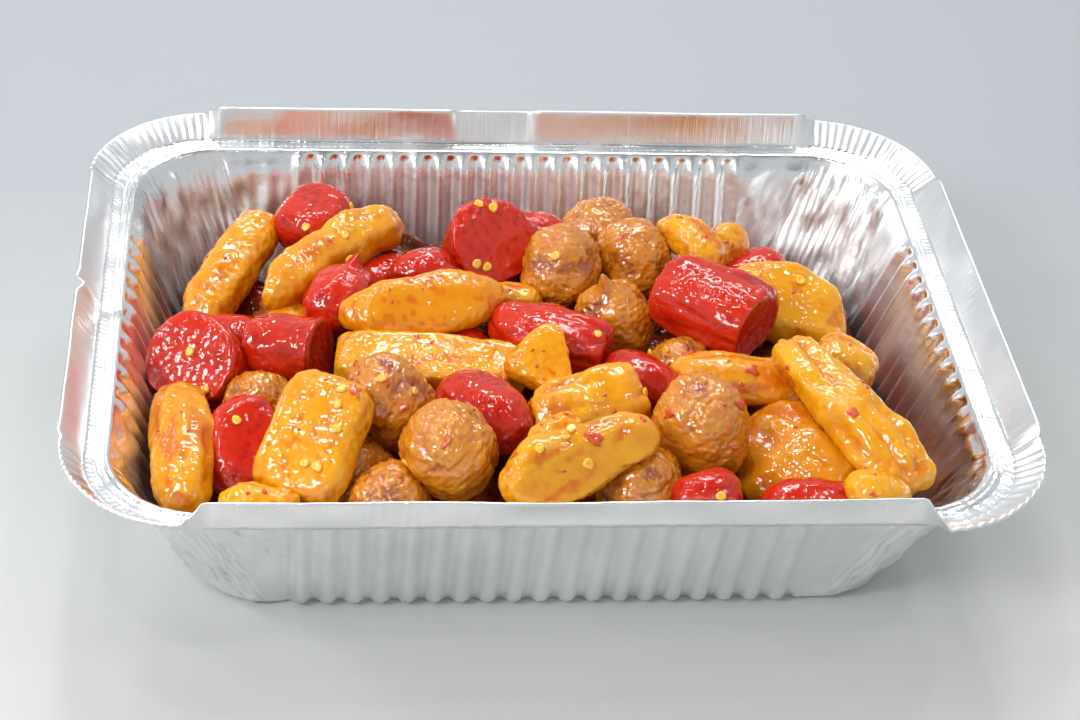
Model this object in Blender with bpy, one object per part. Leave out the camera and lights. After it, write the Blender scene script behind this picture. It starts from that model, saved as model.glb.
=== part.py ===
"""Foil takeaway tray filled with glazed meatballs and red and yellow pepper pieces.

Metres, +Z up, the long side of the tray along X and its front towards -Y.  The origin is
on the table, under the middle of the tray.  Every object is a separate piece and stays in
one body: nothing on this dish moves on a joint.
"""
import math
from collections import namedtuple

import bmesh
import bpy
import numpy as np
from mathutils import Matrix, Vector
from mathutils.bvhtree import BVHTree

MM = 0.001
GAP = 0.3 * MM                      # left between two pieces that touch

# Tray, measured at the foot of its upright flange
TRAY_HALF_LENGTH = 103.0 * MM
TRAY_HALF_WIDTH = 76.6 * MM
LEDGE_HEIGHT = 40.8 * MM            # the shelf that a lid would lie on
WALL_TOP_HEIGHT = 37.6 * MM         # where the flutes start, below the ledge
LEDGE_INSET = 4.0 * MM              # inner edge of the shelf
LEDGE_FALL = 0.4 * MM               # how much lower that edge lies
WALL_TOP_INSET = 7.2 * MM
BASE_INSET = 19.8 * MM
FOOT_ROUND = 2.6 * MM               # the turn from wall to base
FOIL = 0.5 * MM
LEDGE_CORNER = 24.0 * MM            # plan radii, ledge and wall
WALL_CORNER = 20.0 * MM

# Flange that stands on the ledge and leans outwards, by side
FLANGE_SLANT = 8.6 * MM
CORNER_SLANT = 7.2 * MM
FLANGE_LEAN = {"front": 10.0, "right": 39.0, "back": 13.0, "left": 32.0}
CORNER_LEAN = {"front": 72.0, "back": 50.0}

# Flutes pressed into the walls
FLUTE_PITCH = 6.1 * MM
FLUTE_DEPTH = 0.6 * MM
LONG_SIDE_FLUTES = 19
SHORT_SIDE_FLUTES = 11
CORNER_STEPS = 6
WALL_LEAN = (BASE_INSET - WALL_TOP_INSET) / WALL_TOP_HEIGHT

# Sauce and the layer hidden under the pieces that show
BED_CLEARANCE = 1.6 * MM            # from the middle of the fluted wall
BED_FLOOR = 1.4 * MM
BED_FOOT_SHARE = 0.94               # of the bed's outline, where the wall turns into the base
BED_RINGS = 8
BED_COLUMNS = 40
BED_STEP = 0.7 * MM
BED_RIM = 17.0 * MM
BED_HIGHEST = 34.0 * MM
BED_SQUARENESS = 1.25               # how early the outline's sides run straight

# How the pieces are laid and pressed together
RING_POINTS = 8
PIECE_RINGS = 8
CONTACT_DIRECTIONS = 700
SETTLING_ROUNDS = 60
PRESSING_ROUNDS = 60
HOME_PULL = 0.04                    # share of the way back to its own place per round
PUSH_SHARE = 0.22                   # share of an overlap that each of the two gives way
WALL_PASSES = 3                     # pushes off the walls per round
WALL_DIRECTIONS = 16

Piece = namedtuple("Piece", "name family at size turn bend curve taper blunt square lump")


def piece(name, family, at, size, turn=(0, 0, 0), bend=0.0, curve=0.0, taper=0.0,
          blunt=2.4, square=2.3, lump=0.05):
    """One item of food.

    at: centre in mm.  size: length, width, thickness in mm.  turn: heading, rise of the
    long axis and roll about it, in degrees.  bend and curve: how far the ends drop or
    swing aside in mm.  taper: how much wider the far end is.  blunt and square: powers of
    the outline's ends and of the cross-section, 2 for an ellipse and more for a block.
    """
    return Piece(name, family, at, size, turn, bend, curve, taper, blunt, square, lump)


def meatball(number, at, diameter, squash=0.95):
    return piece(f"meatball_{number:02d}", "meatball", at,
                 (diameter, diameter * squash, diameter * squash * 0.98),
                 turn=(37 * number, 11 * number, 0), blunt=2.1, square=2.1, lump=0.045)


YELLOW_PEPPERS = [
    piece("yellow_pepper_01", "yellow", (-72, 32, 33), (44, 13, 12), (67, 10, 0), 2, 1, 0.05),
    piece("yellow_pepper_02", "yellow", (-48, 31, 35), (49, 12, 12), (47, 1, 10), 1, -2, 0.10),
    piece("yellow_pepper_03", "yellow", (-27, 4, 40), (41, 15, 10), (15, 1, 20), 2, 1, 0.05),
    piece("yellow_pepper_04", "yellow", (-33, -13, 37), (49, 14, 12), (-9, 2, 15), 1, 0, 0.0,
          blunt=3.5, square=3.2),
    piece("yellow_pepper_05", "yellow", (-82, -34, 31), (40, 13, 11), (93, 2, 0), 2, -1, -0.05,
          blunt=3.0),
    piece("yellow_pepper_06", "yellow", (-56, -42, 36), (30, 23, 12), (61, 38, 0), 2, 0, -0.06,
          blunt=3.2, square=2.8),
    piece("yellow_pepper_07", "yellow", (-1, -20, 41), (15, 12, 7), (66, 30, 0), 0, 0, -0.45,
          blunt=3.0, square=3.0),
    piece("yellow_pepper_08", "yellow", (10, -30, 39), (30, 17, 14), (18, 0, 25), 1, 0, 0.08,
          blunt=3.2, square=2.8),
    piece("yellow_pepper_09", "yellow", (5, -56, 41), (38, 14, 10), (27, 6, 20), 1, 0, -0.18,
          blunt=2.8, square=3.2),
    piece("yellow_pepper_10", "yellow", (0, -49, 45), (13, 6, 5), (32, 4, 0)),
    piece("yellow_pepper_11", "yellow", (42, 33, 37), (20, 12, 9), (114, 5, 0), 1, 2),
    piece("yellow_pepper_12", "yellow", (51, 35, 36), (19, 11, 9), (50, 5, 0), 1, -1),
    piece("yellow_pepper_13", "yellow", (64, 16, 34), (33, 21, 12), (-13, -12, 20), 2, 0, -0.10,
          blunt=2.8),
    piece("yellow_pepper_14", "yellow", (67, -38, 39), (50, 15, 10), (-58, -10, 10), 2, 1, 0.12,
          blunt=2.8),
    piece("yellow_pepper_15", "yellow", (57, -41, 35), (33, 25, 11), (-57, -5, 25), 2, 0, 0.0,
          blunt=2.6),
    piece("yellow_pepper_16", "yellow", (46, -19, 35), (34, 13, 9), (-7, -2, 10), 1, 1),
    piece("yellow_pepper_17", "yellow", (75, -8, 34), (15, 12, 9), (-22, -20, 0), blunt=3.0),
    piece("yellow_pepper_18", "yellow", (-3, 17, 34), (12, 9, 9), (-17, 0, 0)),
    piece("yellow_pepper_19", "yellow", (-65, -57, 33), (18, 10, 8), (-13, 4, 0)),
    piece("yellow_pepper_20", "yellow", (72, -59, 36), (14, 9, 6), (13, -12, 0)),
    piece("yellow_pepper_21", "yellow", (-58, 13, 30), (13, 10, 8), (30, 0, 0)),
]

RED_PEPPERS = [
    piece("red_pepper_01", "red", (-54, 49, 36), (20, 18, 15), (60, 0, 0)),
    piece("red_pepper_02", "red", (-8, 37, 36), (20, 20, 14), (20, 0, 38), 0, 0, 0.0, 2.6, 2.1),
    piece("red_pepper_03", "red", (4, 45, 34), (15, 13, 12), (-47, 6, 0)),
    piece("red_pepper_04", "red", (-47, 13, 37), (21, 15, 14), (68, -4, 0), 0, 0, -0.08),
    piece("red_pepper_05", "red", (-25, 29, 33), (17, 12, 11), (11, 0, 0)),
    piece("red_pepper_06", "red", (-78, -11, 32), (21, 21, 15), (-40, 0, 35), 0, 0, 0.0, 2.6, 2.1),
    piece("red_pepper_07", "red", (-60, -8, 34), (21, 16, 15), (-20, 8, 0), 0, 0, 0.06,
          blunt=4.0, square=2.2),
    piece("red_pepper_08", "red", (-73, 7, 30), (16, 10, 9), (-39, 14, 0)),
    piece("red_pepper_09", "red", (-70, -39, 33), (23, 17, 13), (80, 28, 0), 1, 0, -0.05,
          blunt=2.8),
    piece("red_pepper_10", "red", (3, -4, 38), (31, 15, 12), (-26, 0, 15), 1, 1, 0.08,
          blunt=2.8, square=2.6),
    piece("red_pepper_11", "red", (40, 3, 39), (31, 20, 16), (-37, 0, 12), 1, 0, 0.06,
          blunt=4.0, square=3.0),
    piece("red_pepper_12", "red", (-15, -31, 38), (26, 16, 13), (-55, 1, 10), 1, 0, 0.0,
          blunt=2.8),
    piece("red_pepper_13", "red", (25, -17, 36), (19, 12, 10), (-47, 0, 0)),
    piece("red_pepper_14", "red", (33, -60, 36), (15, 11, 10), (4, 0, 0)),
    piece("red_pepper_15", "red", (59, -60, 33), (26, 12, 10), (5, -3, 0)),
    piece("red_pepper_16", "red", (56, 32, 35), (17, 12, 10), (37, -4, 0)),
    piece("red_pepper_17", "red", (-21, 2, 33), (19, 10, 9), (2, 0, 0)),
    piece("red_pepper_18", "red", (-35, 33, 30), (17, 10, 9), (48, 0, 0)),
]

MEATBALLS = [
    meatball(1, (20, 48, 33), 18.5),
    meatball(2, (7, 27, 35), 21.5),
    meatball(3, (30, 34, 35), 20.0),
    meatball(4, (22, 9, 33), 19.0),
    meatball(5, (-35, -28, 38), 22.0),
    meatball(6, (-22, -46, 37), 22.5),
    meatball(7, (34, -36, 37), 24.5),
    meatball(8, (17, -53, 35), 20.0),
    meatball(9, (-36, -54, 29), 19.0),
    meatball(10, (-65, -18, 27), 18.0),
    meatball(11, (-43, -44, 29), 18.0),
    meatball(12, (36, -4, 31), 17.0),
]

FOOD_LOOKS = {
    "yellow": ((0.72, 0.30, 0.02), 0.25),
    "red": ((0.50, 0.02, 0.01), 0.22),
    "meatball": ((0.33, 0.13, 0.03), 0.30),
}


def clear_scene():
    for thing in list(bpy.data.objects):
        bpy.data.objects.remove(thing, do_unlink=True)


def material(name, colour, roughness, metallic=0.0):
    made = bpy.data.materials.new(name)
    made.use_nodes = True
    shader = made.node_tree.nodes["Principled BSDF"]
    shader.inputs["Base Color"].default_value = (*colour, 1.0)
    shader.inputs["Roughness"].default_value = roughness
    shader.inputs["Metallic"].default_value = metallic
    return made


def add_object(name, bm, finish):
    bmesh.ops.recalc_face_normals(bm, faces=bm.faces)
    mesh = bpy.data.meshes.new(name)
    bm.to_mesh(mesh)
    bm.free()
    mesh.materials.append(finish)
    thing = bpy.data.objects.new(name, mesh)
    bpy.context.collection.objects.link(thing)
    return thing


def skin_rings(bm, rings, close_start, close_end):
    """Faces between rings of points, with a fan to a middle point at either end."""
    loops = [[bm.verts.new(point) for point in ring] for ring in rings]
    count = len(loops[0])
    for lower, upper in zip(loops, loops[1:]):
        for i in range(count):
            j = (i + 1) % count
            bm.faces.new((lower[i], lower[j], upper[j], upper[i]))
    for point, loop, wanted in ((close_start, loops[0], True), (close_end, loops[-1], False)):
        middle = bm.verts.new(point)
        for i in range(count):
            j = (i + 1) % count
            corners = (loop[j], loop[i], middle) if wanted else (loop[i], loop[j], middle)
            bm.faces.new(corners)


Column = namedtuple("Column", "side along turn flute")


def side_columns(side, flutes):
    """Columns down one straight wall: its two ends and the crests and troughs between."""
    first = -0.5 * (flutes - 0.5) * FLUTE_PITCH
    columns = [Column(side, -1.0, 0.0, 0.0)]
    for i in range(2 * flutes):
        wave = 1.0 if i % 2 == 0 else -1.0
        columns.append(Column(side, first + 0.5 * i * FLUTE_PITCH, 0.0, wave))
    columns.append(Column(side, 1.0, 0.0, 0.0))
    return columns


def tray_columns():
    """All columns round the tray, anticlockwise from the left end of the front wall."""
    columns = []
    plan = (("front", LONG_SIDE_FLUTES), ("right", SHORT_SIDE_FLUTES),
            ("back", LONG_SIDE_FLUTES), ("left", SHORT_SIDE_FLUTES))
    for side, flutes in plan:
        columns += side_columns(side, flutes)
        for step in range(1, CORNER_STEPS):
            columns.append(Column(side, 1.0, step / CORNER_STEPS, 0.0))
    return columns


SIDE_FRAMES = {"front": (0.0, -1.0), "right": (1.0, 0.0), "back": (0.0, 1.0), "left": (-1.0, 0.0)}


def outline_point(column, half_x, half_y, radius, offset):
    """A point of a rounded rectangle at one column, moved out of it by the offset.

    Crests and troughs stay at their own distance from the middle of the side; the two end
    columns stand where the corner's arc starts, and a corner column turns about its centre.
    """
    out = Vector(SIDE_FRAMES[column.side])
    on = Vector((-out.y, out.x))
    reach = half_x if out.x else half_y
    straight = (half_y if out.x else half_x) - radius
    along = column.along * straight if abs(column.along) == 1.0 else column.along
    centre = on * along + out * (reach - radius)
    angle = column.turn * math.pi / 2
    way = out * math.cos(angle) + on * math.sin(angle)
    return centre + way * (radius + offset)


def flange_lean(column):
    """Lean in radians and slant height of the flange at one column.

    A corner's columns carry the name of the side before it, anticlockwise.
    """
    if column.turn == 0.0:
        return math.radians(FLANGE_LEAN[column.side]), FLANGE_SLANT
    corner = "back" if column.side in ("right", "back") else "front"
    return math.radians(CORNER_LEAN[corner]), CORNER_SLANT


def tray_section(column):
    """The bent foil at one column: outward offset, height and flute share of each bend."""
    lean, slant = flange_lean(column)
    return [
        (-BASE_INSET - FOOT_ROUND, 0.0, 0.0),
        (-BASE_INSET + FOOT_ROUND * WALL_LEAN, FOOT_ROUND, 0.5),
        (-WALL_TOP_INSET, WALL_TOP_HEIGHT, 1.0),
        (-LEDGE_INSET, LEDGE_HEIGHT - LEDGE_FALL, 0.0),
        (0.0, LEDGE_HEIGHT, 0.0),
        (slant * math.sin(lean), LEDGE_HEIGHT + slant * math.cos(lean), 0.0),
    ]


def offset_section(section, side):
    """The section moved half a foil to its inner (+1) or outer (-1) face."""
    moved = []
    for i, (out, up, share) in enumerate(section):
        before = section[max(i - 1, 0)]
        after = section[min(i + 1, len(section) - 1)]
        run = Vector((after[0] - before[0], after[1] - before[1])).normalized()
        normal = Vector((-run.y, run.x)) * (side * FOIL / 2)
        moved.append((out + normal.x, up + normal.y + FOIL / 2, share))
    flat = side * FOIL / 2 + FOIL / 2
    moved[0] = (section[0][0], flat, 0.0)
    return moved


def corner_radius(out):
    """Plan radius of a bend that lies this far outside the foot of the flange."""
    if out <= -WALL_TOP_INSET:
        return WALL_CORNER
    share = (out + WALL_TOP_INSET) / WALL_TOP_INSET
    return WALL_CORNER + (LEDGE_CORNER - WALL_CORNER) * min(share, 1.0)


def tray_rings(columns, side):
    """Rings of points of one face of the foil, from the base outwards to the flange's top."""
    sections = [offset_section(tray_section(column), side) for column in columns]
    rings = []
    for level in range(len(sections[0])):
        ring = []
        for column, section in zip(columns, sections):
            out, up, share = section[level]
            fold = min(out, 0.0)
            offset = max(out, 0.0) + share * column.flute * FLUTE_DEPTH
            point = outline_point(column, TRAY_HALF_LENGTH + fold, TRAY_HALF_WIDTH + fold,
                                  corner_radius(out), offset)
            ring.append(Vector((point.x, point.y, up)))
        rings.append(ring)
    return rings


def build_tray():
    columns = tray_columns()
    inner = tray_rings(columns, 1)
    outer = tray_rings(columns, -1)
    bm = bmesh.new()
    skin_rings(bm, inner + outer[::-1], Vector((0, 0, FOIL)), Vector((0, 0, 0)))
    return add_object("tray", bm, material("tray_foil", (0.80, 0.81, 0.82), 0.28, 1.0))


def powered(value, power):
    """The value with its sign kept, blunted as in a superellipse of this power."""
    return math.copysign(abs(value) ** (2.0 / power), value)


def food_form(item, seed):
    """Points and faces of one item about its own centre, before it is laid in the tray.

    A ball is drawn out along X, its ends blunted and its section squared by their powers;
    it is widened by the taper, dropped and swung by the bend and curve, and made uneven by
    slow waves whose phases come from the seed.
    """
    bm = bmesh.new()
    bmesh.ops.create_uvsphere(bm, u_segments=RING_POINTS, v_segments=PIECE_RINGS, radius=1.0)
    bmesh.ops.rotate(bm, verts=bm.verts, matrix=Matrix.Rotation(math.pi / 2, 3, "Y"))
    phase = np.random.default_rng(seed).uniform(0, 2 * math.pi, 4)
    length, width, thick = (0.5 * MM * value for value in item.size)
    for vert in bm.verts:
        around = math.hypot(vert.co.y, vert.co.z)
        angle = math.atan2(vert.co.z, vert.co.y)
        along = powered(vert.co.x, item.blunt)
        ring = powered(around, item.blunt)
        uneven = 1.0 + item.lump * (math.sin(3.1 * along + phase[0])
                                    + math.sin(2 * angle + 1.7 * along + phase[1])
                                    + 0.6 * math.sin(3 * angle - 2.3 * along + phase[2]))
        swell = ring * uneven * (1.0 + item.taper * along)
        vert.co = Vector((
            length * along,
            width * swell * powered(math.cos(angle), item.square) + item.curve * MM * along ** 2,
            thick * swell * powered(math.sin(angle), item.square) - item.bend * MM * along ** 2))
    heading, rise, roll = (math.radians(value) for value in item.turn)
    turn = (Matrix.Rotation(heading, 3, "Z") @ Matrix.Rotation(-rise, 3, "Y")
            @ Matrix.Rotation(roll, 3, "X"))
    bmesh.ops.rotate(bm, verts=bm.verts, matrix=turn)
    bm.verts.ensure_lookup_table()
    points = np.array([vert.co[:] for vert in bm.verts])
    faces = [[vert.index for vert in face.verts] for face in bm.faces]
    bm.free()
    return points, faces


def spread_directions(count):
    """Unit vectors spread evenly over a half ball by the golden angle, with their opposites."""
    index = np.arange(count // 2)
    height = (index + 0.5) / (count // 2)
    angle = index * math.pi * (3.0 - math.sqrt(5.0))
    flat = np.sqrt(1.0 - height ** 2)
    half = np.stack([flat * np.cos(angle), flat * np.sin(angle), height], axis=1)
    return np.concatenate([half, -half])


def wall_planes():
    """Half-spaces of the room inside the tray: outward normals and distances.

    The floor, the four leaning walls, and three planes across each rounded corner.
    """
    clear = FOIL + FLUTE_DEPTH + GAP
    half_x = TRAY_HALF_LENGTH - BASE_INSET
    half_y = TRAY_HALF_WIDTH - BASE_INSET
    normals = [(0.0, 0.0, -1.0)]
    distances = [-(FOIL + 2 * GAP)]
    for step in range(WALL_DIRECTIONS):
        angle = 2 * math.pi * step / WALL_DIRECTIONS
        c, s = math.cos(angle), math.sin(angle)
        reach = (half_x - WALL_CORNER) * abs(c) + (half_y - WALL_CORNER) * abs(s) + WALL_CORNER
        normal = Vector((c, s, -WALL_LEAN))
        normals.append(tuple(normal.normalized()))
        distances.append((reach - clear) / normal.length)
    return np.array(normals), np.array(distances)


def deepest_overlap(forms, places, directions):
    """For each pair, how deep they overlap, and the direction in which that is least."""
    half = len(directions) // 2
    reach = np.array([(points @ directions.T).max(axis=0) for points in forms])
    back = np.concatenate([reach[:, half:], reach[:, :half]], axis=1)
    shift = places @ directions.T
    depth = (reach + shift)[:, None, :] + (back - shift)[None, :, :]
    best = depth.argmin(axis=2)
    return np.take_along_axis(depth, best[:, :, None], axis=2)[:, :, 0], directions[best]


def settle(forms, places, directions):
    """Moves the pieces apart, a little each round, and keeps them inside the tray."""
    home = places.copy()
    normals, distances = wall_planes()
    wall_reach = np.array([(points @ normals.T).max(axis=0) for points in forms])
    for _ in range(SETTLING_ROUNDS):
        depth, way = deepest_overlap(forms, places, directions)
        np.fill_diagonal(depth, 0.0)
        push = np.clip(depth + GAP, 0.0, None) * (depth > -GAP)
        places = places - PUSH_SHARE * (push[:, :, None] * way).sum(axis=1)
        places += HOME_PULL * (home - places)
        for _ in range(WALL_PASSES):
            over = np.clip(places @ normals.T + wall_reach - distances, 0.0, None)
            worst = over.argmax(axis=1)
            places -= np.take_along_axis(over, worst[:, None], axis=1) * normals[worst]
    return places


def press_together(forms, places, directions):
    """Flattens what still overlaps against one plane for each pair, and against the tray."""
    points = [form + place for form, place in zip(forms, places)]
    normals, distances = wall_planes()
    limits = [[(n, d) for n, d in zip(normals, distances)] for _ in forms]
    depth, way = deepest_overlap(forms, places, directions)
    for i in range(len(forms)):
        for j in range(i + 1, len(forms)):
            if depth[i, j] <= -GAP:
                continue
            normal = way[i, j]
            middle = 0.5 * ((points[i] @ normal).max() + (points[j] @ normal).min())
            limits[i].append((normal, middle - GAP / 2))
            limits[j].append((-normal, -middle - GAP / 2))
    for _ in range(PRESSING_ROUNDS):
        for own, planes in zip(points, limits):
            for normal, distance in planes:
                over = np.clip(own @ normal - distance, 0.0, None)
                own -= over[:, None] * normal
    return points


def build_food(items):
    finishes = {family: material(f"{family}_food", colour, roughness)
                for family, (colour, roughness) in FOOD_LOOKS.items()}
    made = [food_form(item, seed) for seed, item in enumerate(items)]
    directions = spread_directions(CONTACT_DIRECTIONS)
    places = np.array([item.at for item in items], dtype=float) * MM
    forms = [points for points, _ in made]
    places = settle(forms, places, directions)
    laid = press_together(forms, places, directions)
    for item, points, (_, faces) in zip(items, laid, made):
        bm = bmesh.new()
        verts = [bm.verts.new(point) for point in points]
        for face in faces:
            bm.faces.new([verts[i] for i in face])
        add_object(item.name, bm, finishes[item.family])
    return laid, [faces for _, faces in made]


def bed_ring(scale, height):
    """A rounded rectangle that grows with height as the wall does, drawn in by scale."""
    grow = WALL_LEAN * height
    half_x = TRAY_HALF_LENGTH - BASE_INSET - BED_CLEARANCE - WALL_CORNER
    half_y = TRAY_HALF_WIDTH - BASE_INSET - BED_CLEARANCE - WALL_CORNER
    points = []
    for i in range(BED_COLUMNS):
        angle = 2 * math.pi * i / BED_COLUMNS
        c, s = math.cos(angle), math.sin(angle)
        x = math.copysign(min(abs(c) * BED_SQUARENESS, 1.0), c) * half_x
        y = math.copysign(min(abs(s) * BED_SQUARENESS, 1.0), s) * half_y
        points.append(Vector(((x + c * (WALL_CORNER + grow)) * scale,
                              (y + s * (WALL_CORNER + grow)) * scale)))
    return points


def bed_rings(heights):
    """The bed's rings of points: floor, rim and the top's rings with their own heights."""
    rings = [[Vector((*p, BED_FLOOR)) for p in bed_ring(BED_FOOT_SHARE, BED_FLOOR)]]
    rings.append([Vector((*p, FOOT_ROUND + FOIL)) for p in bed_ring(1.0, FOOT_ROUND + FOIL)])
    for i, ring in enumerate(heights[:-1]):
        flat = bed_ring(1.0 - i / BED_RINGS, min(heights[0]))
        rings.append([Vector((*p, z)) for p, z in zip(flat, ring)])
    return rings


def build_bed(laid, faces):
    """The sauce and the hidden layer: a mound that is lowered until it is under all food."""
    trees = [BVHTree.FromPolygons([Vector(p) - Vector((0, 0, GAP)) for p in points], polygons)
             for points, polygons in zip(laid, faces)]
    heights = [[BED_HIGHEST] * BED_COLUMNS for _ in range(BED_RINGS)] + [[BED_HIGHEST]]
    heights[0] = [BED_RIM] * BED_COLUMNS
    lowered = True
    while lowered:
        bm = bmesh.new()
        top = Vector((0, 0, heights[-1][0]))
        skin_rings(bm, bed_rings(heights), Vector((0, 0, BED_FLOOR)), top)
        bm.verts.index_update()
        own = BVHTree.FromBMesh(bm)
        bm.faces.ensure_lookup_table()
        hit = {vert.index for tree in trees for face, _ in own.overlap(tree)
               for vert in bm.faces[face].verts}
        inside = {vert.index for vert in bm.verts for tree in trees if swallowed(vert.co, tree)}
        lowered = False
        for index in hit | inside:
            level, column = divmod(index - 2 * BED_COLUMNS, BED_COLUMNS)
            if index == len(bm.verts) - 1:
                level, column = BED_RINGS, 0
            if 1 <= level <= BED_RINGS and heights[level][column] > BED_FLOOR + 2 * BED_STEP:
                heights[level][column] -= BED_STEP
                lowered = True
        if lowered:
            bm.free()
    add_object("sauce_bed", bm, material("sauce", (0.12, 0.02, 0.008), 0.15))


def swallowed(point, tree):
    """Whether a point is inside a closed piece: the piece's next face above turns upwards."""
    _, normal, _, _ = tree.ray_cast(point, Vector((0, 0, 1)))
    return normal is not None and normal.z > 0


def centre_over_origin():
    """Shifts every mesh so that the box round the object stands on the origin."""
    things = list(bpy.context.collection.objects)
    corners = np.array([vert.co[:] for thing in things for vert in thing.data.vertices])
    low, high = corners.min(axis=0), corners.max(axis=0)
    middle = Vector(((low[0] + high[0]) / 2, (low[1] + high[1]) / 2, low[2]))
    for thing in things:
        thing.data.transform(Matrix.Translation(-middle))


def main():
    clear_scene()
    build_tray()
    laid, faces = build_food(YELLOW_PEPPERS + RED_PEPPERS + MEATBALLS)
    build_bed(laid, faces)
    centre_over_origin()


main()
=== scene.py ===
import bpy
import numpy as np
from mathutils import Matrix, Vector


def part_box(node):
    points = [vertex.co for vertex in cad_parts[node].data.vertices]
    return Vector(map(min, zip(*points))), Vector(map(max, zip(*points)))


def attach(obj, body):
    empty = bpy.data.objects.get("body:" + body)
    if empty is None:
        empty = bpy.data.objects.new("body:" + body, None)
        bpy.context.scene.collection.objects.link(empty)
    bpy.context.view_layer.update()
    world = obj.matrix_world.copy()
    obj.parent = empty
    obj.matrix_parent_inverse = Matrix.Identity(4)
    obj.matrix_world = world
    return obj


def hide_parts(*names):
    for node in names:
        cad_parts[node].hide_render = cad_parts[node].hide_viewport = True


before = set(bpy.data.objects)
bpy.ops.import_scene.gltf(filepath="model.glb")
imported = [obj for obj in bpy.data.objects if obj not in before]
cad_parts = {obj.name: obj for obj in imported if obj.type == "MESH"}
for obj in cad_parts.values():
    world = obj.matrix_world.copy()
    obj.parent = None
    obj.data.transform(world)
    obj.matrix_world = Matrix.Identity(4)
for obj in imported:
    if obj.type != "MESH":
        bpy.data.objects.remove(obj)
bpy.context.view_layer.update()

mm = 0.001
fullTurn = 2 * np.pi


def smoothStep(value, low, high):
    # 0 below low, 1 above high and an S-shaped rise between them
    share = np.clip((value - low) / (high - low), 0, 1)
    return share * share * (3 - 2 * share)


def waves(points, size, seed, count=28):
    # smooth uneven relief, mostly between -1 and 1: the sum of cosine waves that run in random
    # directions with lengths near size
    rng = np.random.default_rng(seed)
    way = rng.normal(size=(count, 3))
    way /= np.linalg.norm(way, axis=1, keepdims=True)
    way *= fullTurn / (size * rng.uniform(0.7, 1.6, (count, 1)))
    return np.cos(points @ way.T + rng.uniform(0, fullTurn, count)).sum(-1) / np.sqrt(1.5 * count)


def creases(points, size, width, seed):
    # narrow valleys of depth 1, a bell curve across every line where the waves cross zero
    return -np.exp(-(waves(points, size, seed) / width) ** 2)


def domes(points, centres, radii):
    # rounded lumps that meet in sharp valleys: the highest of many paraboloids at every point
    gap = np.linalg.norm(points[..., None, :] - centres, axis=-1) / radii
    return np.clip(1 - gap ** 2, 0, None).max(-1)


def closedFaces(rows, columns):
    # faces of a skin whose rows run from one pole to the other: a fan, bands of quads, a fan
    ring = np.arange(columns)
    after = np.roll(ring, -1)
    band = 1 + np.arange(rows - 3)[:, None] * columns
    quads = np.stack([band + ring, band + after, band + columns + after, band + columns + ring], -1)
    last = 1 + (rows - 2) * columns
    start = np.stack([np.zeros_like(ring), 1 + after, 1 + ring], -1)
    end = np.stack([last - columns + ring, last - columns + after, np.full_like(ring, last)], -1)
    return start, quads.reshape(-1, 4), end


def poleList(grid):
    # the grid's rows as one list, with a single point for the first and the last row
    inner = grid[1:-1].reshape(-1, *grid.shape[2:])
    return np.concatenate([grid[:1, 0], inner, grid[-1:, 0]])


def skinTriangles(points, faces):
    # corners of every triangle, with quads halved
    start, quads, end = faces
    return points[np.concatenate([start, quads[:, :3], quads[:, [0, 2, 3]], end])]


def turnOutwards(points, faces):
    # reverses every face when the volume that they close comes out negative
    corners = skinTriangles(points, faces)
    volume = (corners[:, 0] * np.cross(corners[:, 1], corners[:, 2])).sum()
    return faces if volume > 0 else tuple(part[:, ::-1] for part in faces)


def addPiece(name, points, faces, finish, nodes=(), marks=None):
    # one object at the origin; points in mm, marks are numbers per point that the finish reads
    mesh = bpy.data.meshes.new(name)
    mesh.from_pydata((points * mm).tolist(), [], [face for part in faces for face in part.tolist()])
    for mark, values in (marks or {}).items():
        layer = mesh.attributes.new(mark, "FLOAT", "POINT")
        layer.data.foreach_set("value", np.ascontiguousarray(values, dtype=np.float32))
    mesh.shade_smooth()
    mesh.materials.append(finish)
    piece = bpy.data.objects.new(name, mesh)
    bpy.context.scene.collection.objects.link(piece)
    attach(piece, "root")
    for node in nodes:
        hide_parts(node)
    return piece


def nodeTriangles(node):
    # corners in mm of every triangle of a frame node
    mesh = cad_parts[node].data
    mesh.calc_loop_triangles()
    points = np.empty(len(mesh.vertices) * 3)
    mesh.vertices.foreach_get("co", points)
    corners = np.empty(len(mesh.loop_triangles) * 3, dtype=np.int32)
    mesh.loop_triangles.foreach_get("vertices", corners)
    return points.reshape(-1, 3)[corners.reshape(-1, 3)] / mm


def castOut(middle, rays, triangles):
    # ray lengths from the middle to the skin, and the triangle met there: the farthest crossing of
    # every ray with every triangle, by Cramer's rule
    edgeA = triangles[:, 1] - triangles[:, 0]
    edgeB = triangles[:, 2] - triangles[:, 0]
    start = middle - triangles[:, 0]
    across = np.cross(start, edgeA)
    whole = -(rays @ np.cross(edgeA, edgeB).T)
    whole = np.where(np.abs(whole) < 1e-9, 1e-9, whole)
    shareB = rays @ np.cross(edgeB, start).T / whole
    shareC = rays @ across.T / whole
    far = (edgeB * across).sum(1) / whole
    inside = (shareB > -1e-6) & (shareC > -1e-6) & (shareB + shareC < 1 + 1e-6) & (far > 0)
    far = np.where(inside, far, 0)
    return far.max(axis=1), far.argmax(axis=1)


def newGroup(name, inputs, outputs):
    # a shader node group with named sockets; inputs carry their own default
    group = bpy.data.node_groups.new(name, "ShaderNodeTree")
    for label, kind, value in inputs:
        socket = group.interface.new_socket(label, in_out="INPUT", socket_type=kind)
        socket.default_value = value
    for label, kind in outputs:
        group.interface.new_socket(label, in_out="OUTPUT", socket_type=kind)
    return group


def addNode(tree, kind, links=None, **settings):
    # one node, with settings by property name and links or values by input name or number
    node = tree.nodes.new(kind)
    for key, value in settings.items():
        setattr(node, key, value)
    for key, value in (links or {}).items():
        socket = node.inputs[key]
        if isinstance(value, bpy.types.NodeSocket):
            tree.links.new(value, socket)
        else:
            socket.default_value = value
    return node


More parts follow.
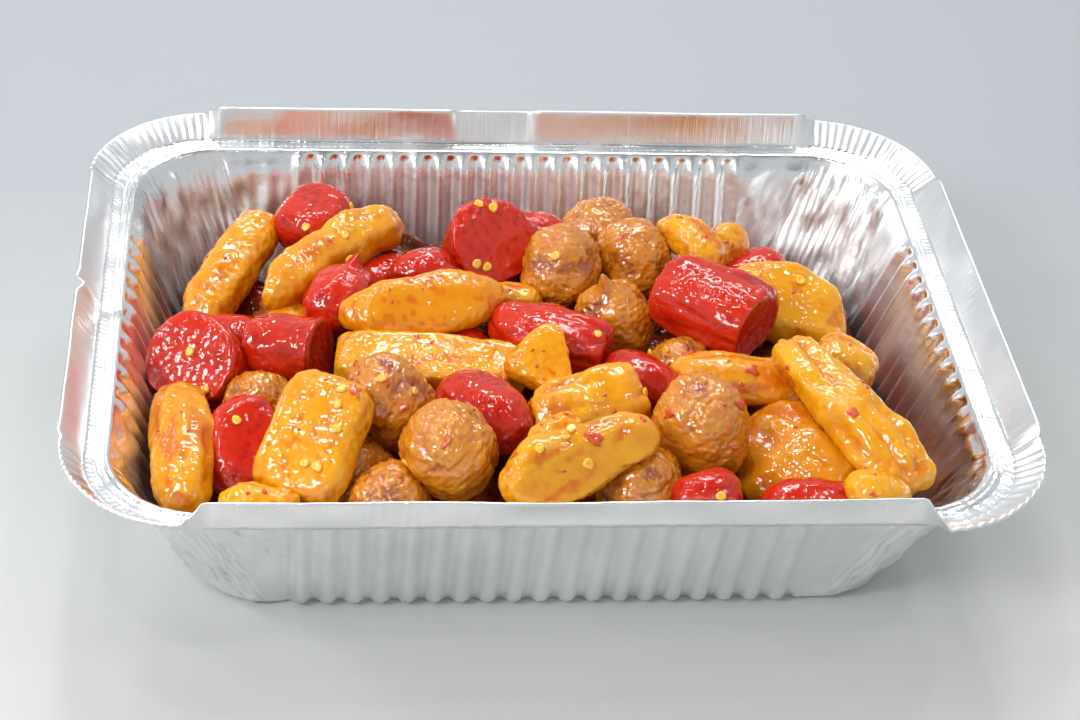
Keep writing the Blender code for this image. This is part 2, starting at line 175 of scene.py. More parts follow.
def mixColour(tree, share, first, second):
    # first where the share is 0, second where it is 1
    node = addNode(tree, "ShaderNodeMix", data_type="RGBA")
    for index, value in ((0, share), (6, first), (7, second)):
        if isinstance(value, bpy.types.NodeSocket):
            tree.links.new(value, node.inputs[index])
        else:
            node.inputs[index].default_value = value
    return node.outputs[2]


def combine(tree, operation, first, second=0.0, clamp=False):
    # the two values joined by a sum, difference, product or quotient; clamp holds it from 0 to 1
    node = addNode(tree, "ShaderNodeMath", {0: first, 1: second}, operation=operation, use_clamp=clamp)
    return node.outputs[0]


def rescale(tree, value, low, high, newLow=0.0, newHigh=1.0):
    # moves the range from low to high onto the new one, and holds what lies outside
    values = {0: value, 1: low, 2: high, 3: newLow, 4: newHigh}
    return addNode(tree, "ShaderNodeMapRange", values).outputs[0]


def noise(tree, where, scale, detail=2.0, rough=0.5):
    # cloudy noise from 0 to 1 with scale blobs to a unit; each step of detail halves their size
    values = {"Vector": where, "Scale": scale, "Detail": detail, "Roughness": rough}
    return addNode(tree, "ShaderNodeTexNoise", values).outputs[0]


def makeGlazeGroup():
    # cooked food under a wet glaze. Colour: body to crest by slow mottling and, as painted light, by high
    # relief; then towards the shade colour by low relief, as painted shade, and by tone; then flecks where
    # fine
    # noise passes a threshold. Height: cloudy blisters less a third of smooth cells, faded in patches.
    # Roughness: noise up to the dullest
    group = newGroup("glazedFood", [
        ("Body", "NodeSocketColor", (0.8, 0.4, 0.05, 1)),
        # the crest colour serves the mottling and is also painted light on high relief; the colour after it
        # is painted shade in low relief and the colour that a deep tone leans to
        ("Crest", "NodeSocketColor", (0.9, 0.6, 0.1, 1)),
        ("Shade And Deep Tone", "NodeSocketColor", (0.3, 0.1, 0.02, 1)),
        ("Fleck", "NodeSocketColor", (0.3, 0.05, 0.01, 1)),
        ("Relief", "NodeSocketFloat", 0.5), ("Tone", "NodeSocketFloat", 0.0),
        ("Fleck Share", "NodeSocketFloat", 0.1), ("Mottle Size", "NodeSocketFloat", 0.006),
        ("Blister Size", "NodeSocketFloat", 0.0012), ("Blister Depth", "NodeSocketFloat", 0.0002),
        ("Dullest", "NodeSocketFloat", 0.4)],
        [("Color", "NodeSocketColor"), ("Roughness", "NodeSocketFloat"), ("Normal", "NodeSocketVector")])
    given = addNode(group, "NodeGroupInput").outputs
    where = addNode(group, "ShaderNodeTexCoord").outputs["Object"]
    relief = given["Relief"]

    def mottled(count, detail, rough=0.5):
        # noise with the given count of blobs to a mottle
        return noise(group, where, combine(group, "DIVIDE", count, given["Mottle Size"]), detail, rough)

    mottle = rescale(group, mottled(1.0, 3.0, 0.6), 0.40, 0.72)
    body = mixColour(group, mottle, given["Body"], given["Crest"])
    # painted light: the high relief turns towards the crest colour
    lit = mixColour(group, rescale(group, relief, 0.60, 1.0, 0.0, 0.55), body, given["Crest"])
    # painted shade: the low relief turns towards the third, darker colour, and a piece of deep tone takes
    # more of it everywhere
    deep = combine(group, "MULTIPLY", given["Tone"], 0.25)
    shadeAndToneShare = combine(group, "ADD", rescale(group, relief, 0.38, 0.0), deep, clamp=True)
    shadedAndToned = mixColour(group, shadeAndToneShare, lit, given["Shade And Deep Tone"])
    edge = combine(group, "SUBTRACT", 0.80, given["Fleck Share"])
    fleckMask = rescale(group, mottled(1.6, 5.0, 0.75), edge, combine(group, "ADD", edge, 0.05))
    colour = mixColour(group, fleckMask, shadedAndToned, given["Fleck"])

    scale = combine(group, "DIVIDE", 1.0, given["Blister Size"])
    cells = addNode(group, "ShaderNodeTexVoronoi", {"Vector": where, "Scale": scale}, feature="SMOOTH_F1")
    cells = combine(group, "MULTIPLY", cells.outputs[0], 0.35)
    blister = combine(group, "SUBTRACT", noise(group, where, scale, 0.6), cells)
    patch = rescale(group, mottled(0.9, 2.0), 0.40, 0.60, 0.25, 1.0)
    rough = rescale(group, mottled(2.4, 2.0), 0.38, 0.70, 0.08, given["Dullest"])
    bump = addNode(group, "ShaderNodeBump", {"Height": combine(group, "MULTIPLY", blister, patch),
                                             "Distance": given["Blister Depth"], "Strength": 1.0})
    end = addNode(group, "NodeGroupOutput")
    for label, value in (("Color", colour), ("Roughness", rough), ("Normal", bump.outputs[0])):
        group.links.new(value, end.inputs[label])
    return group


glazeGroup = makeGlazeGroup()

glazes = {   # colours in linear light; sizes in metres
    # every food's crest colour is also painted light on its high relief, and its third colour is painted
    # shade in its low relief, deepened by its tone
    "yellow_pepper": {"Body": (0.76, 0.290, 0.004, 1), "Crest": (0.83, 0.40, 0.011, 1),
                      "Shade And Deep Tone": (0.66, 0.160, 0.003, 1), "Fleck": (0.50, 0.10, 0.003, 1),
                      "Fleck Share": 0.07, "Mottle Size": 0.009, "Blister Size": 0.0016,
                      "Blister Depth": 0.00036, "Dullest": 0.17, "subsurface": 0.08, "specular": 0.60},
    "red_pepper": {"Body": (0.56, 0.017, 0.003, 1), "Crest": (0.62, 0.030, 0.006, 1),
                   "Shade And Deep Tone": (0.40, 0.009, 0.002, 1), "Fleck": (0.42, 0.012, 0.003, 1),
                   "Fleck Share": 0.0, "Mottle Size": 0.009, "Blister Size": 0.0016,
                   "Blister Depth": 0.00038, "Dullest": 0.17, "subsurface": 0.05, "specular": 0.60},
    "meatball": {"Body": (0.60, 0.190, 0.006, 1), "Crest": (0.70, 0.27, 0.018, 1),
                 "Shade And Deep Tone": (0.34, 0.075, 0.004, 1), "Fleck": (0.40, 0.075, 0.004, 1),
                 "Fleck Share": 0.13, "Mottle Size": 0.004, "Blister Size": 0.0014,
                 "Blister Depth": 0.00034, "Dullest": 0.15, "subsurface": 0.04, "specular": 0.95},
    "sauce": {"Body": (0.16, 0.014, 0.003, 1), "Crest": (0.22, 0.025, 0.004, 1),
              "Shade And Deep Tone": (0.03, 0.002, 0.001, 1), "Fleck": (0.25, 0.02, 0.004, 1),
              "Fleck Share": 0.08, "Mottle Size": 0.006, "Blister Size": 0.0018,
              "Blister Depth": 0.00040, "Dullest": 0.20, "subsurface": 0.0, "specular": 0.2},
}


def makeGlaze(name):
    # the food's own shader, fed by the shared group; the marks on the mesh give relief and tone
    values = dict(glazes[name])
    finish = bpy.data.materials.new(name + "Glaze")
    finish.use_nodes = True
    tree = finish.node_tree
    shader = tree.nodes["Principled BSDF"]
    shader.inputs["Subsurface Weight"].default_value = values.pop("subsurface")
    shader.inputs["Subsurface Radius"].default_value = (1.0, 0.45, 0.15)    # red light goes deepest
    shader.inputs["Subsurface Scale"].default_value = 0.003
    shader.inputs["Specular IOR Level"].default_value = values.pop("specular")
    glaze = addNode(tree, "ShaderNodeGroup", values, node_tree=glazeGroup)
    for label in ("Relief", "Tone"):
        mark = addNode(tree, "ShaderNodeAttribute", attribute_name=label.lower())
        tree.links.new(mark.outputs["Fac"], glaze.inputs[label])
    for label, socket in (("Color", "Base Color"), ("Roughness", "Roughness"), ("Normal", "Normal")):
        tree.links.new(glaze.outputs[label], shader.inputs[socket])
    return finish


finishes = {name: makeGlaze(name) for name in glazes}
print("finishes made")


tray = {   # mm and degrees, measured at the foot of the upright flange
    "halfLength": 103.0, "halfWidth": 76.6, "ledge": 40.8, "wallTop": 37.6,
    "wallTopInset": 7.2, "baseInset": 19.8, "footRound": 2.6, "foil": 0.3,
    "clear": 1.1, "overBase": 0.8,               # room between the food and the wall, and the base
    "ledgeCorner": 24.0, "wallCorner": 20.0,
    "flange": 8.6, "cornerFlange": 7.2, "hem": 0.42,
    "lean": (10.0, 39.0, 13.0, 32.0),            # front, right, back, left
    "cornerLean": (56.0, 50.0, 50.0, 40.0),      # front right, back right, back left, front left
    "pleats": (16, 20, 20, 24), "pleatSwing": 1.0, "pleatDepth": 0.38,
    "flutePitch": 6.1, "fluteDepth": 1.10, "flutes": (19, 11, 19, 11),
    "fanPleats": 15,                             # folds of the wall in each corner
    "dent": (-16.5, 6.0),                        # from and to, along the back of the flange
    "kink": 1.7, "fold": 5.2,                    # places along the left of the flange
    "columns": (150, 96, 84),                    # along a long side, a short side and a corner
    "baseRows": (0.10, 0.30, 0.55, 0.80, 0.90, 0.94, 0.97), "panelRise": 0.7,
    "wallRows": 14, "wallFoot": (0.1, 2.2),      # its lowest row: out from the base, and up
    "shoulder": [   # out, height and share of the knurled strip, over the bead to the ledge
        (-6.7, 38.4, 0), (-6.0, 39.6, 0), (-5.5, 40.4, 0), (-5.1, 40.9, 0), (-4.6, 41.15, 0),
        (-4.15, 41.1, 0), (-3.8, 40.8, 0), (-3.6, 40.75, 0), (-3.35, 40.85, 0), (-3.0, 40.75, 0),
        (-2.75, 40.4, 0), (-2.1, 40.3, 0), (-1.8, 40.4, 1), (-1.2, 40.5, 1), (-0.6, 40.6, 1),
        (-0.15, 40.75, 1)],
    "flangeRows": (0.05, 0.14, 0.25, 0.38, 0.52, 0.66, 0.80, 0.92, 1.0),
    "hemTurns": (35, 80, 125, 170, 215, 250),
}


def trayColumns():
    # side number, place along the straight from -1 to 1, and turn through the corner from 0 to 1
    longCount, shortCount, cornerCount = tray["columns"]
    side, along, turn = [], [], []
    for number in range(4):
        count = (longCount, shortCount)[number % 2]
        side.append(np.full(count + cornerCount, number))
        along.append(np.concatenate([np.linspace(-1, 1, count, endpoint=False), np.ones(cornerCount)]))
        turn.append(np.concatenate([np.zeros(count), np.linspace(0, 1, cornerCount, endpoint=False)]))
    return np.concatenate(side), np.concatenate(along), np.concatenate(turn)


def trayOutline(side, along, turn, out, radius):
    # a rounded rectangle drawn in or let out: the place on its side or corner, the way outwards, and
    # the distance along the side from its middle
    face = (side - 1) * np.pi / 2
    ahead = np.stack([np.cos(face), np.sin(face)], -1)
    aside = np.stack([-np.sin(face), np.cos(face)], -1)
    halfX = tray["halfLength"] + np.minimum(out, 0)
    halfY = tray["halfWidth"] + np.minimum(out, 0)
    reach = np.where(side % 2 == 1, halfX, halfY) - radius
    straight = np.where(side % 2 == 1, halfY, halfX) - radius
    angle = turn * np.pi / 2
    way = np.cos(angle)[..., None] * ahead + np.sin(angle)[..., None] * aside
    place = (aside * (along * straight)[..., None] + ahead * reach[..., None]
             + way * (radius + np.maximum(out, 0))[..., None])
    return place, way, along * straight


def straightHalf(side):
    # half the length of each side's straight stretch along the ledge
    return np.where(side % 2 == 1, tray["halfWidth"], tray["halfLength"]) - tray["ledgeCorner"]


def cornerShare(side, along, turn, margin):
    # 1 in the corners, falling to 0 at a margin in mm along the straight sides
    fromEnd = (1 - np.abs(along)) * straightHalf(side)
    return np.where(turn > 0, 1.0, 1 - smoothStep(fromEnd, 0, margin))


def flangeLean(side, along, turn, spot):
    # lean in radians: each side and corner has its own, with S-shaped steps half way between the two
    # at the ends of a side; the corners swing in cosine pleats and all of it wanders slowly
    lean = np.array(tray["lean"])[side]
    after = np.roll(np.array(tray["lean"]), -1)[side]
    corner = np.array(tray["cornerLean"])[side]
    cornerBefore = np.array(tray["cornerLean"])[side - 1]
    ahead = smoothStep((1 - along) * straightHalf(side), 2.6, 0.2) * 0.5
    behind = smoothStep((1 + along) * straightHalf(side), 2.6, 0.2) * 0.5
    onSide = lean + (corner - lean) * ahead + (cornerBefore - lean) * behind
    inCorner = corner + (lean - corner) * smoothStep(turn, 0.06, 0.0) * 0.5
    inCorner = inCorner + (after - corner) * smoothStep(turn, 0.94, 1.0) * 0.5
    phase = turn * np.array(tray["pleats"])[side] * fullTurn + 1.1 * waves(spot, 14, 41)
    swing = tray["pleatSwing"] * np.cos(phase) * smoothStep(turn, 0, 0.05) * smoothStep(turn, 1.0, 0.95)
    wander = 1.6 * waves(spot, 45, 42) + 0.5 * waves(spot, 9, 43)
    return np.radians(np.where(turn > 0, inCorner + swing, onSide) + wander)


def flangeShape(side, along, turn, spot, corner):
    # lean, slant length in mm and the kink's share: the front is lowest at its middle, a stretch of
    # the back leans out, and bell curves kink and fold the left
    onFront, onBack, onLeft = ((side == number) & (turn == 0) for number in (0, 2, 3))
    slant = tray["flange"] + (tray["cornerFlange"] - tray["flange"]) * corner
    slant = slant + np.where(onFront, 0.3 - 0.7 * (1 - along ** 2), 0)
    start, end = tray["dent"]
    dent = smoothStep(spot[:, 0], start, start + 1.5) * smoothStep(spot[:, 0], end, end - 1.5) * onBack
    kink = np.exp(-((spot[:, 1] - tray["kink"]) / 1.6) ** 2) * onLeft
    fold = np.exp(-((spot[:, 1] - tray["fold"]) / 1.1) ** 2) * onLeft
    lean = flangeLean(side, along, turn, spot) + np.radians(13 * dent - 9 * kink + 5 * fold)
    return lean, slant - 0.5 * dent - 0.8 * kink, kink


def wallRelief(side, turn, place, position, height):
    # how far the wall is pushed out, in mm, at one height: flutes on the straight sides as flattened
    # cosine waves; elsewhere folds, a fan of pleats and crinkles, which fade at the foot and the top
    flutes = np.array(tray["flutes"])[side]
    pitch, top = tray["flutePitch"], tray["wallTop"]
    phase = (position + 0.5 * (flutes - 0.5) * pitch) / pitch
    wave = np.tanh(1.7 * np.cos(fullTurn * phase)) / np.tanh(1.7)
    fluted = smoothStep(phase, -0.75, -0.45) * smoothStep(phase, flutes - 0.05, flutes - 0.35)
    fluted = fluted * (turn == 0)
    tall = np.column_stack([place, np.full(len(place), height * 0.22)])
    even = np.column_stack([place, np.full(len(place), height)])
    fan = 0.5 * fullTurn * tray["fanPleats"] * turn + 1.2 * waves(even, 11, 56)
    fan = np.abs(np.cos(fan)) * (turn > 0)
    folds = (0.60 * waves(tall, 6, 51) + 0.7 * creases(tall, 7, 0.28, 52) + 0.25
             + 0.25 * waves(even, 3.4, 55) + 0.35 * waves(even, 7, 57) + 0.9 * (fan - 0.6))
    crinkle = 0.34 * creases(even, 9, 0.26, 53) + 0.12 * waves(even, 3.2, 54)
    ends = smoothStep(height, top + 2.2, top - 1) * smoothStep(height, -3, 9)
    fluteEnd = smoothStep(height, top + 2.5, top + 1.7)
    return tray["fluteDepth"] * wave * fluted * fluteEnd + (1 - fluted) * (0.75 * folds + crinkle) * ends


def buildTrayGrid():
    # rows from the middle of the base out to the rolled hem, columns all the way round; the marks
    # are 1 on the knurled strip and fall below 0 up the flange
    side, along, turn = trayColumns()
    count = len(side)
    flat = trayOutline(side, along, turn, np.zeros(count), tray["ledgeCorner"])[0]
    spot = np.column_stack([flat, np.zeros(count)])
    corner = cornerShare(side, along, turn, 1.6)
    lean, slant, kink = flangeShape(side, along, turn, spot, corner)
    rows, marks = [], []

    def addRow(out, height, radius, mark=0.0, relief=0.0):
        # relief is the share of the wall's own relief that the row takes
        out = np.broadcast_to(np.asarray(out, dtype=float), (count,))
        place, way, position = trayOutline(side, along, turn, out, radius)
        if relief:
            push = relief * wallRelief(side, turn, place, position, np.mean(height))
            place = place + way * push[:, None]
        rows.append(np.column_stack([place, np.broadcast_to(height, (count,))]))
        marks.append(np.full(count, mark))

    foil, footRound, wallCorner = tray["foil"], tray["footRound"], tray["wallCorner"]
    footOut = -tray["baseInset"] - footRound
    footPlace = trayOutline(side, along, turn, np.full(count, footOut), wallCorner)[0]
    for share in tray["baseRows"]:                                # the base, with a raised panel
        panel = foil + tray["panelRise"] * smoothStep(share, 0.965, 0.93) + 0.25 * (share < 0.6)
        rows.append(np.column_stack([footPlace * share, np.full(count, panel)]))
        marks.append(np.zeros(count))
    for angle in np.radians((0, 18, 36, 54)):                     # the turn from base to wall
        addRow(footOut + footRound * np.sin(angle), foil + footRound * (1 - np.cos(angle)),
               wallCorner, relief=np.sin(angle))
    lowOut, lowHeight = tray["wallFoot"][0] - tray["baseInset"], tray["wallFoot"][1]
    for share in np.linspace(0, 1, tray["wallRows"]):             # the leaning wall
        addRow(lowOut + (-tray["wallTopInset"] - lowOut) * share,
               lowHeight + (tray["wallTop"] - lowHeight) * share, wallCorner, relief=1.0)

    inset, widening = tray["wallTopInset"], tray["ledgeCorner"] - wallCorner
    bumpy = 0.07 * waves(spot, 6, 61) + 0.08 * corner * waves(spot, 3.4, 62) - 0.7 * kink
    for out, height, mark in tray["shoulder"]:
        radius = wallCorner + widening * (out + inset) / inset
        addRow(out, height + bumpy, radius, mark, relief=1.0 if height < tray["wallTop"] + 2.2 else 0.0)

    pleats = np.cos(turn * np.array(tray["pleats"])[side] * fullTurn + 1.5 * waves(spot, 12, 64))
    pleats = tray["pleatDepth"] * pleats * smoothStep(turn, 0, 0.06) * smoothStep(turn, 1.0, 0.94)
    for share in tray["flangeRows"]:                              # the flange
        bow = (0.35 * np.sin(np.pi * share) * waves(spot, 20, 63)
               + pleats * np.sin(np.pi * (0.1 + 0.75 * share)))
        addRow(share * slant * np.sin(lean) + bow * np.cos(lean) + 1e-6,
               tray["ledge"] + bumpy * (1 - share) + share * slant * np.cos(lean) - bow * np.sin(lean),
               tray["ledgeCorner"], -share)
    topOut, topHeight = slant * np.sin(lean), tray["ledge"] + slant * np.cos(lean)
    for angle in np.radians(tray["hemTurns"]):                    # the rolled hem
        sideways = tray["hem"] * (1 - np.cos(angle))
        upwards = tray["hem"] * np.sin(angle)
        addRow(topOut + sideways * np.cos(lean) + upwards * np.sin(lean),
               topHeight - sideways * np.sin(lean) + upwards * np.cos(lean), tray["ledgeCorner"], -1.2)
    return np.array(rows), np.array(marks)


foilLook = {   # colours in linear light; the layers of relief are shares of its depth in metres
    "dark": (0.84, 0.85, 0.865, 1), "light": (0.93, 0.935, 0.94, 1),
    "rough": (0.20, 0.30), "rougherFlange": 0.10, "rougherWall": 0.18,
    "depth": 0.00022, "ticks": 0.13, "streaks": 1.1, "crinkle": 1.0, "grain": 0.06,
}


def makeFoil():
    # bright rolled foil. Height: knurled ticks on the strip, streaks up the flange, an all-over
    # crinkle and a fine grain, added by their shares. Roughness: slow noise, more on flange and wall
    finish = bpy.data.materials.new("brightFoil")
    finish.use_nodes = True
    tree = finish.node_tree
    shader = tree.nodes["Principled BSDF"]
    shader.inputs["Metallic"].default_value = 1.0
    where = addNode(tree, "ShaderNodeTexCoord").outputs["Object"]
    sheet = addNode(tree, "ShaderNodeUVMap", uv_map="sheet").outputs[0]
    mark = addNode(tree, "ShaderNodeAttribute", attribute_name="strip").outputs["Fac"]
    onFlange = rescale(tree, mark, -0.02, -0.10)
    slant = addNode(tree, "ShaderNodeMapping", {"Vector": sheet, "Scale": (1.0, 0.55, 1.0)})
    ticks = addNode(tree, "ShaderNodeTexWave", {"Vector": slant.outputs[0], "Scale": 0.385,
                                                "Distortion": 0.6, "Detail": 1.0},
                    wave_type="BANDS", bands_direction="DIAGONAL").outputs[1]
    upright = addNode(tree, "ShaderNodeMapping", {"Vector": sheet, "Scale": (1.0, 0.06, 1.0)})
    streaks = noise(tree, upright.outputs[0], 0.9, 2.0, 0.6)
    height = 0.0
    for name, layer in (("ticks", combine(tree, "MULTIPLY", ticks, rescale(tree, mark, 0.45, 0.9))),
                        ("streaks", combine(tree, "MULTIPLY", streaks, onFlange)),
                        ("crinkle", noise(tree, where, 160.0, 3.0, 0.55)),
                        ("grain", noise(tree, where, 1500.0, 2.0, 0.6))):
        height = combine(tree, "ADD", height, combine(tree, "MULTIPLY", layer, foilLook[name]))
    bump = addNode(tree, "ShaderNodeBump", {"Height": height, "Distance": foilLook["depth"],
                                            "Strength": 1.0})
    tree.links.new(bump.outputs[0], shader.inputs["Normal"])
    tone = rescale(tree, noise(tree, where, 60.0, 3.0), 0.3, 0.7)
    tree.links.new(mixColour(tree, tone, foilLook["dark"], foilLook["light"]), shader.inputs["Base Color"])
    level = addNode(tree, "ShaderNodeSeparateXYZ", {0: where}).outputs[2]
    top = tray["wallTop"] * mm
    rough = combine(tree, "ADD", combine(tree, "MULTIPLY", onFlange, foilLook["rougherFlange"]),
                    rescale(tree, level, top - 4 * mm, top, foilLook["rougherWall"], 0.0))
    rough = combine(tree, "ADD", rescale(tree, tone, 0.0, 1.0, *foilLook["rough"]), rough)
    tree.links.new(rough, shader.inputs["Roughness"])
    return finish


def trayMiddle():
    # the middle of the frame's flat base
    base = nodeTriangles("tray").reshape(-1, 3)
    base = base[base[:, 2] < 0.1][:, :2]
    return 0.5 * (base.min(0) + base.max(0))


def buildTray():
    # a fan over the middle of the base, then bands of quads out to the hem, thickened inwards
    grid, marks = buildTrayGrid()
    middle = trayMiddle()
    grid[..., :2] += middle
    levels, columns = grid.shape[:2]
    ring = np.arange(columns)
    after = np.roll(ring, -1)
    band = 1 + np.arange(levels - 1)[:, None] * columns
    quads = np.stack([band + columns + ring, band + columns + after, band + after, band + ring], -1)
    fan = np.stack([np.zeros_like(ring), 1 + ring, 1 + after], -1)
    points = np.concatenate([[[*middle, grid[0, 0, 2]]], grid.reshape(-1, 3)])
    strip = np.concatenate([[0.0], marks.reshape(-1)])
    foil = addPiece("foil_tray", points, (fan, quads.reshape(-1, 4)), makeFoil(), ["tray"],
                    {"strip": strip})
    # sheet coordinates in mm: the length round the ledge, and up the section from the base out
    ledge = grid[-1 - len(tray["flangeRows"]) - len(tray["hemTurns"])]
    section = grid[:, tray["columns"][0] // 2]
    roundTo = np.cumsum(np.linalg.norm(np.roll(ledge, -1, 0) - ledge, axis=1))
    roundFrom = np.concatenate([[0], roundTo[:-1]])
    up = np.concatenate([[0], np.cumsum(np.linalg.norm(np.diff(section, axis=0), axis=1))])
    across = np.stack([roundFrom, roundTo, roundTo, roundFrom], -1)[None]
    upwards = np.stack([up[1:], up[1:], up[:-1], up[:-1]], -1)[:, None]
    sheet = np.stack(np.broadcast_arrays(across, upwards), -1).reshape(-1, 2)
    sheet = np.concatenate([np.zeros((columns * 3, 2)), sheet])
    layer = foil.data.uv_layers.new(name="sheet")
    layer.data.foreach_set("uv", np.ascontiguousarray(sheet, dtype=np.float32).ravel())
    wall = foil.modifiers.new("thickness", "SOLIDIFY")
    wall.thickness = tray["foil"] * mm
    wall.offset = -1.0


buildTray()
print("tray built")


def ownAxes(points):
    # middle, axes and half sizes of a cloud of points from the directions of its spread: the long
    # axis points right or back, the thin one up
    spread = np.linalg.eigh(np.cov((points - points.mean(0)).T))[1].T[::-1]
    thin = spread[2] * (1 if spread[2][2] > 0 else -1)
    longWay = spread[0]
    lead = longWay[np.argmax(np.abs(longWay[:2]))]
    longWay = longWay * (1 if lead > 0 else -1)
    axes = np.array([longWay, np.cross(thin, longWay), thin])
    local = points @ axes.T
    low, high = local.min(0), local.max(0)
    return (0.5 * (low + high)) @ axes, axes, 0.5 * (high - low)


def ballGrid(rows, columns):
    # points of a unit ball: rows from pole to pole down Z, columns round it
    tip = np.linspace(0, np.pi, rows)[:, None]
    around = np.linspace(0, fullTurn, columns, endpoint=False)[None, :]
    flat = np.sin(tip)
    return np.stack(np.broadcast_arrays(flat * np.cos(around), flat * np.sin(around), np.cos(tip)), -1)


def foodForm(node, rows, columns, soften):
    # the solid seen from its middle: rays through an even ball drawn out to its proportions, their
    # lengths smoothed with the neighbours' again and again; returns the local grid in mm
    triangles = nodeTriangles(node)
    middle, axes, half = ownAxes(triangles.reshape(-1, 3))
    ball = np.roll(ballGrid(rows, columns), 1, -1)                # poles on the long axis
    reach = castOut(middle, (ball * half).reshape(-1, 3) @ axes, triangles)[0].reshape(rows, columns)
    reach[0], reach[-1] = reach[0].mean(), reach[-1].mean()
    for _ in range(soften):
        reach = 0.5 * reach + 0.25 * (np.roll(reach, 1, 1) + np.roll(reach, -1, 1))
        reach[1:-1] = 0.5 * reach[1:-1] + 0.25 * (reach[:-2] + reach[2:])
    local = ball * half * reach[..., None]
    outward = ball / half
    outward /= np.linalg.norm(outward, axis=-1, keepdims=True)
    return {"node": node, "middle": middle, "axes": axes, "half": half, "ball": ball, "local": local,
            "outward": outward}


def cutFace(points, way, at, hollow, soft):
    # what lies beyond a plane is pressed back on it with a rounded edge; the face dishes inwards
    way = np.array(way, dtype=float) / np.linalg.norm(way)
    depth = points @ way
    aside = points - depth[..., None] * way
    spread = np.linalg.norm(aside, axis=-1)
    widest = np.percentile(spread[depth > at], 97) if (depth > at).any() else 1.0
    face = at - hollow * (1 - np.clip(spread / widest, 0, 1) ** 2)
    kept = face - soft * np.logaddexp(0, (face - depth) / soft)
    return aside + kept[..., None] * way


def cutEnds(form, local, cuts):
    # every cut gives a way along the piece's axes, its place as a share of the piece's half size that
    # way, how hollow the face is and how soft its edge
    for way, share, hollow, soft in cuts:
        size = np.linalg.norm(form["half"] * np.array(way) / np.linalg.norm(way))
        local = cutFace(local, way, share * size, hollow, soft)
    return local


def growNubs(form, local, nubs):
    # a nub is drawn out along its heading and rise as a bell curve of its height and half width
    outward = local @ form["axes"]
    outward /= np.linalg.norm(outward, axis=-1, keepdims=True)
    for heading, rise, height, width in nubs:
        heading, rise = np.radians((heading, rise))
        way = np.array([np.cos(rise) * np.cos(heading), np.cos(rise) * np.sin(heading), np.sin(rise)])
        share = np.exp(-(np.arccos(np.clip(outward @ way, -1, 1)) / width) ** 2)
        local = local + height * share[..., None] * (form["axes"] @ way)
    return local


def keepInside(points):
    # pushes what would stick through the tray's wall back along the shortest way: the distance to a
    # rounded rectangle that widens with height
    middle = trayMiddle()
    inset = tray["baseInset"] - (tray["baseInset"] - tray["wallTopInset"]) * points[:, 2] / tray["wallTop"]
    core = np.stack([tray["halfLength"] - inset, tray["halfWidth"] - inset], -1) - tray["wallCorner"]
    flat = points[:, :2] - middle
    over = np.abs(flat) - core
    outside = np.clip(over, 0, None)
    beyond = np.hypot(*outside.T) + np.clip(over.max(1), None, 0) - tray["wallCorner"] + tray["clear"]
    way = np.where((outside > 0).any(1)[:, None], outside, (over == over.max(1)[:, None]) * 1.0)
    way = np.sign(flat) * way / np.linalg.norm(way, axis=1, keepdims=True)
    points = points.copy()
    points[:, :2] -= way * np.clip(beyond, 0, None)[:, None]
    points[:, 2] = np.maximum(points[:, 2], tray["foil"] + tray["overBase"])
    return points


skins = {}   # triangles of every finished piece, for what lies on it


def finishFood(form, local, relief, slotName, seed, tone=None):
    # adds the piece; its relief mark runs from 0 in the deepest relief to 1 on the highest, and its tone
    # is its own or random
    low, high = np.percentile(relief, (3, 97))
    share = np.clip((relief - low) / (high - low), 0, 1)
    points = keepInside(poleList(local @ form["axes"] + form["middle"]))
    faces = turnOutwards(points, closedFaces(*local.shape[:2]))
    tone = np.random.default_rng(seed).uniform(-0.5, 0.9) if tone is None else tone
    addPiece(form["node"] + "_glazed", points, faces, finishes[slotName], [form["node"]],
             {"relief": poleList(share), "tone": np.full(len(points), tone)})
    skins[form["node"]] = skinTriangles(points, faces)


def levelPoles(grid):
    # the mean of each end row in all of that row, so that the tips stay whole
    grid[0], grid[-1] = grid[0].mean(0), grid[-1].mean(0)
    return grid


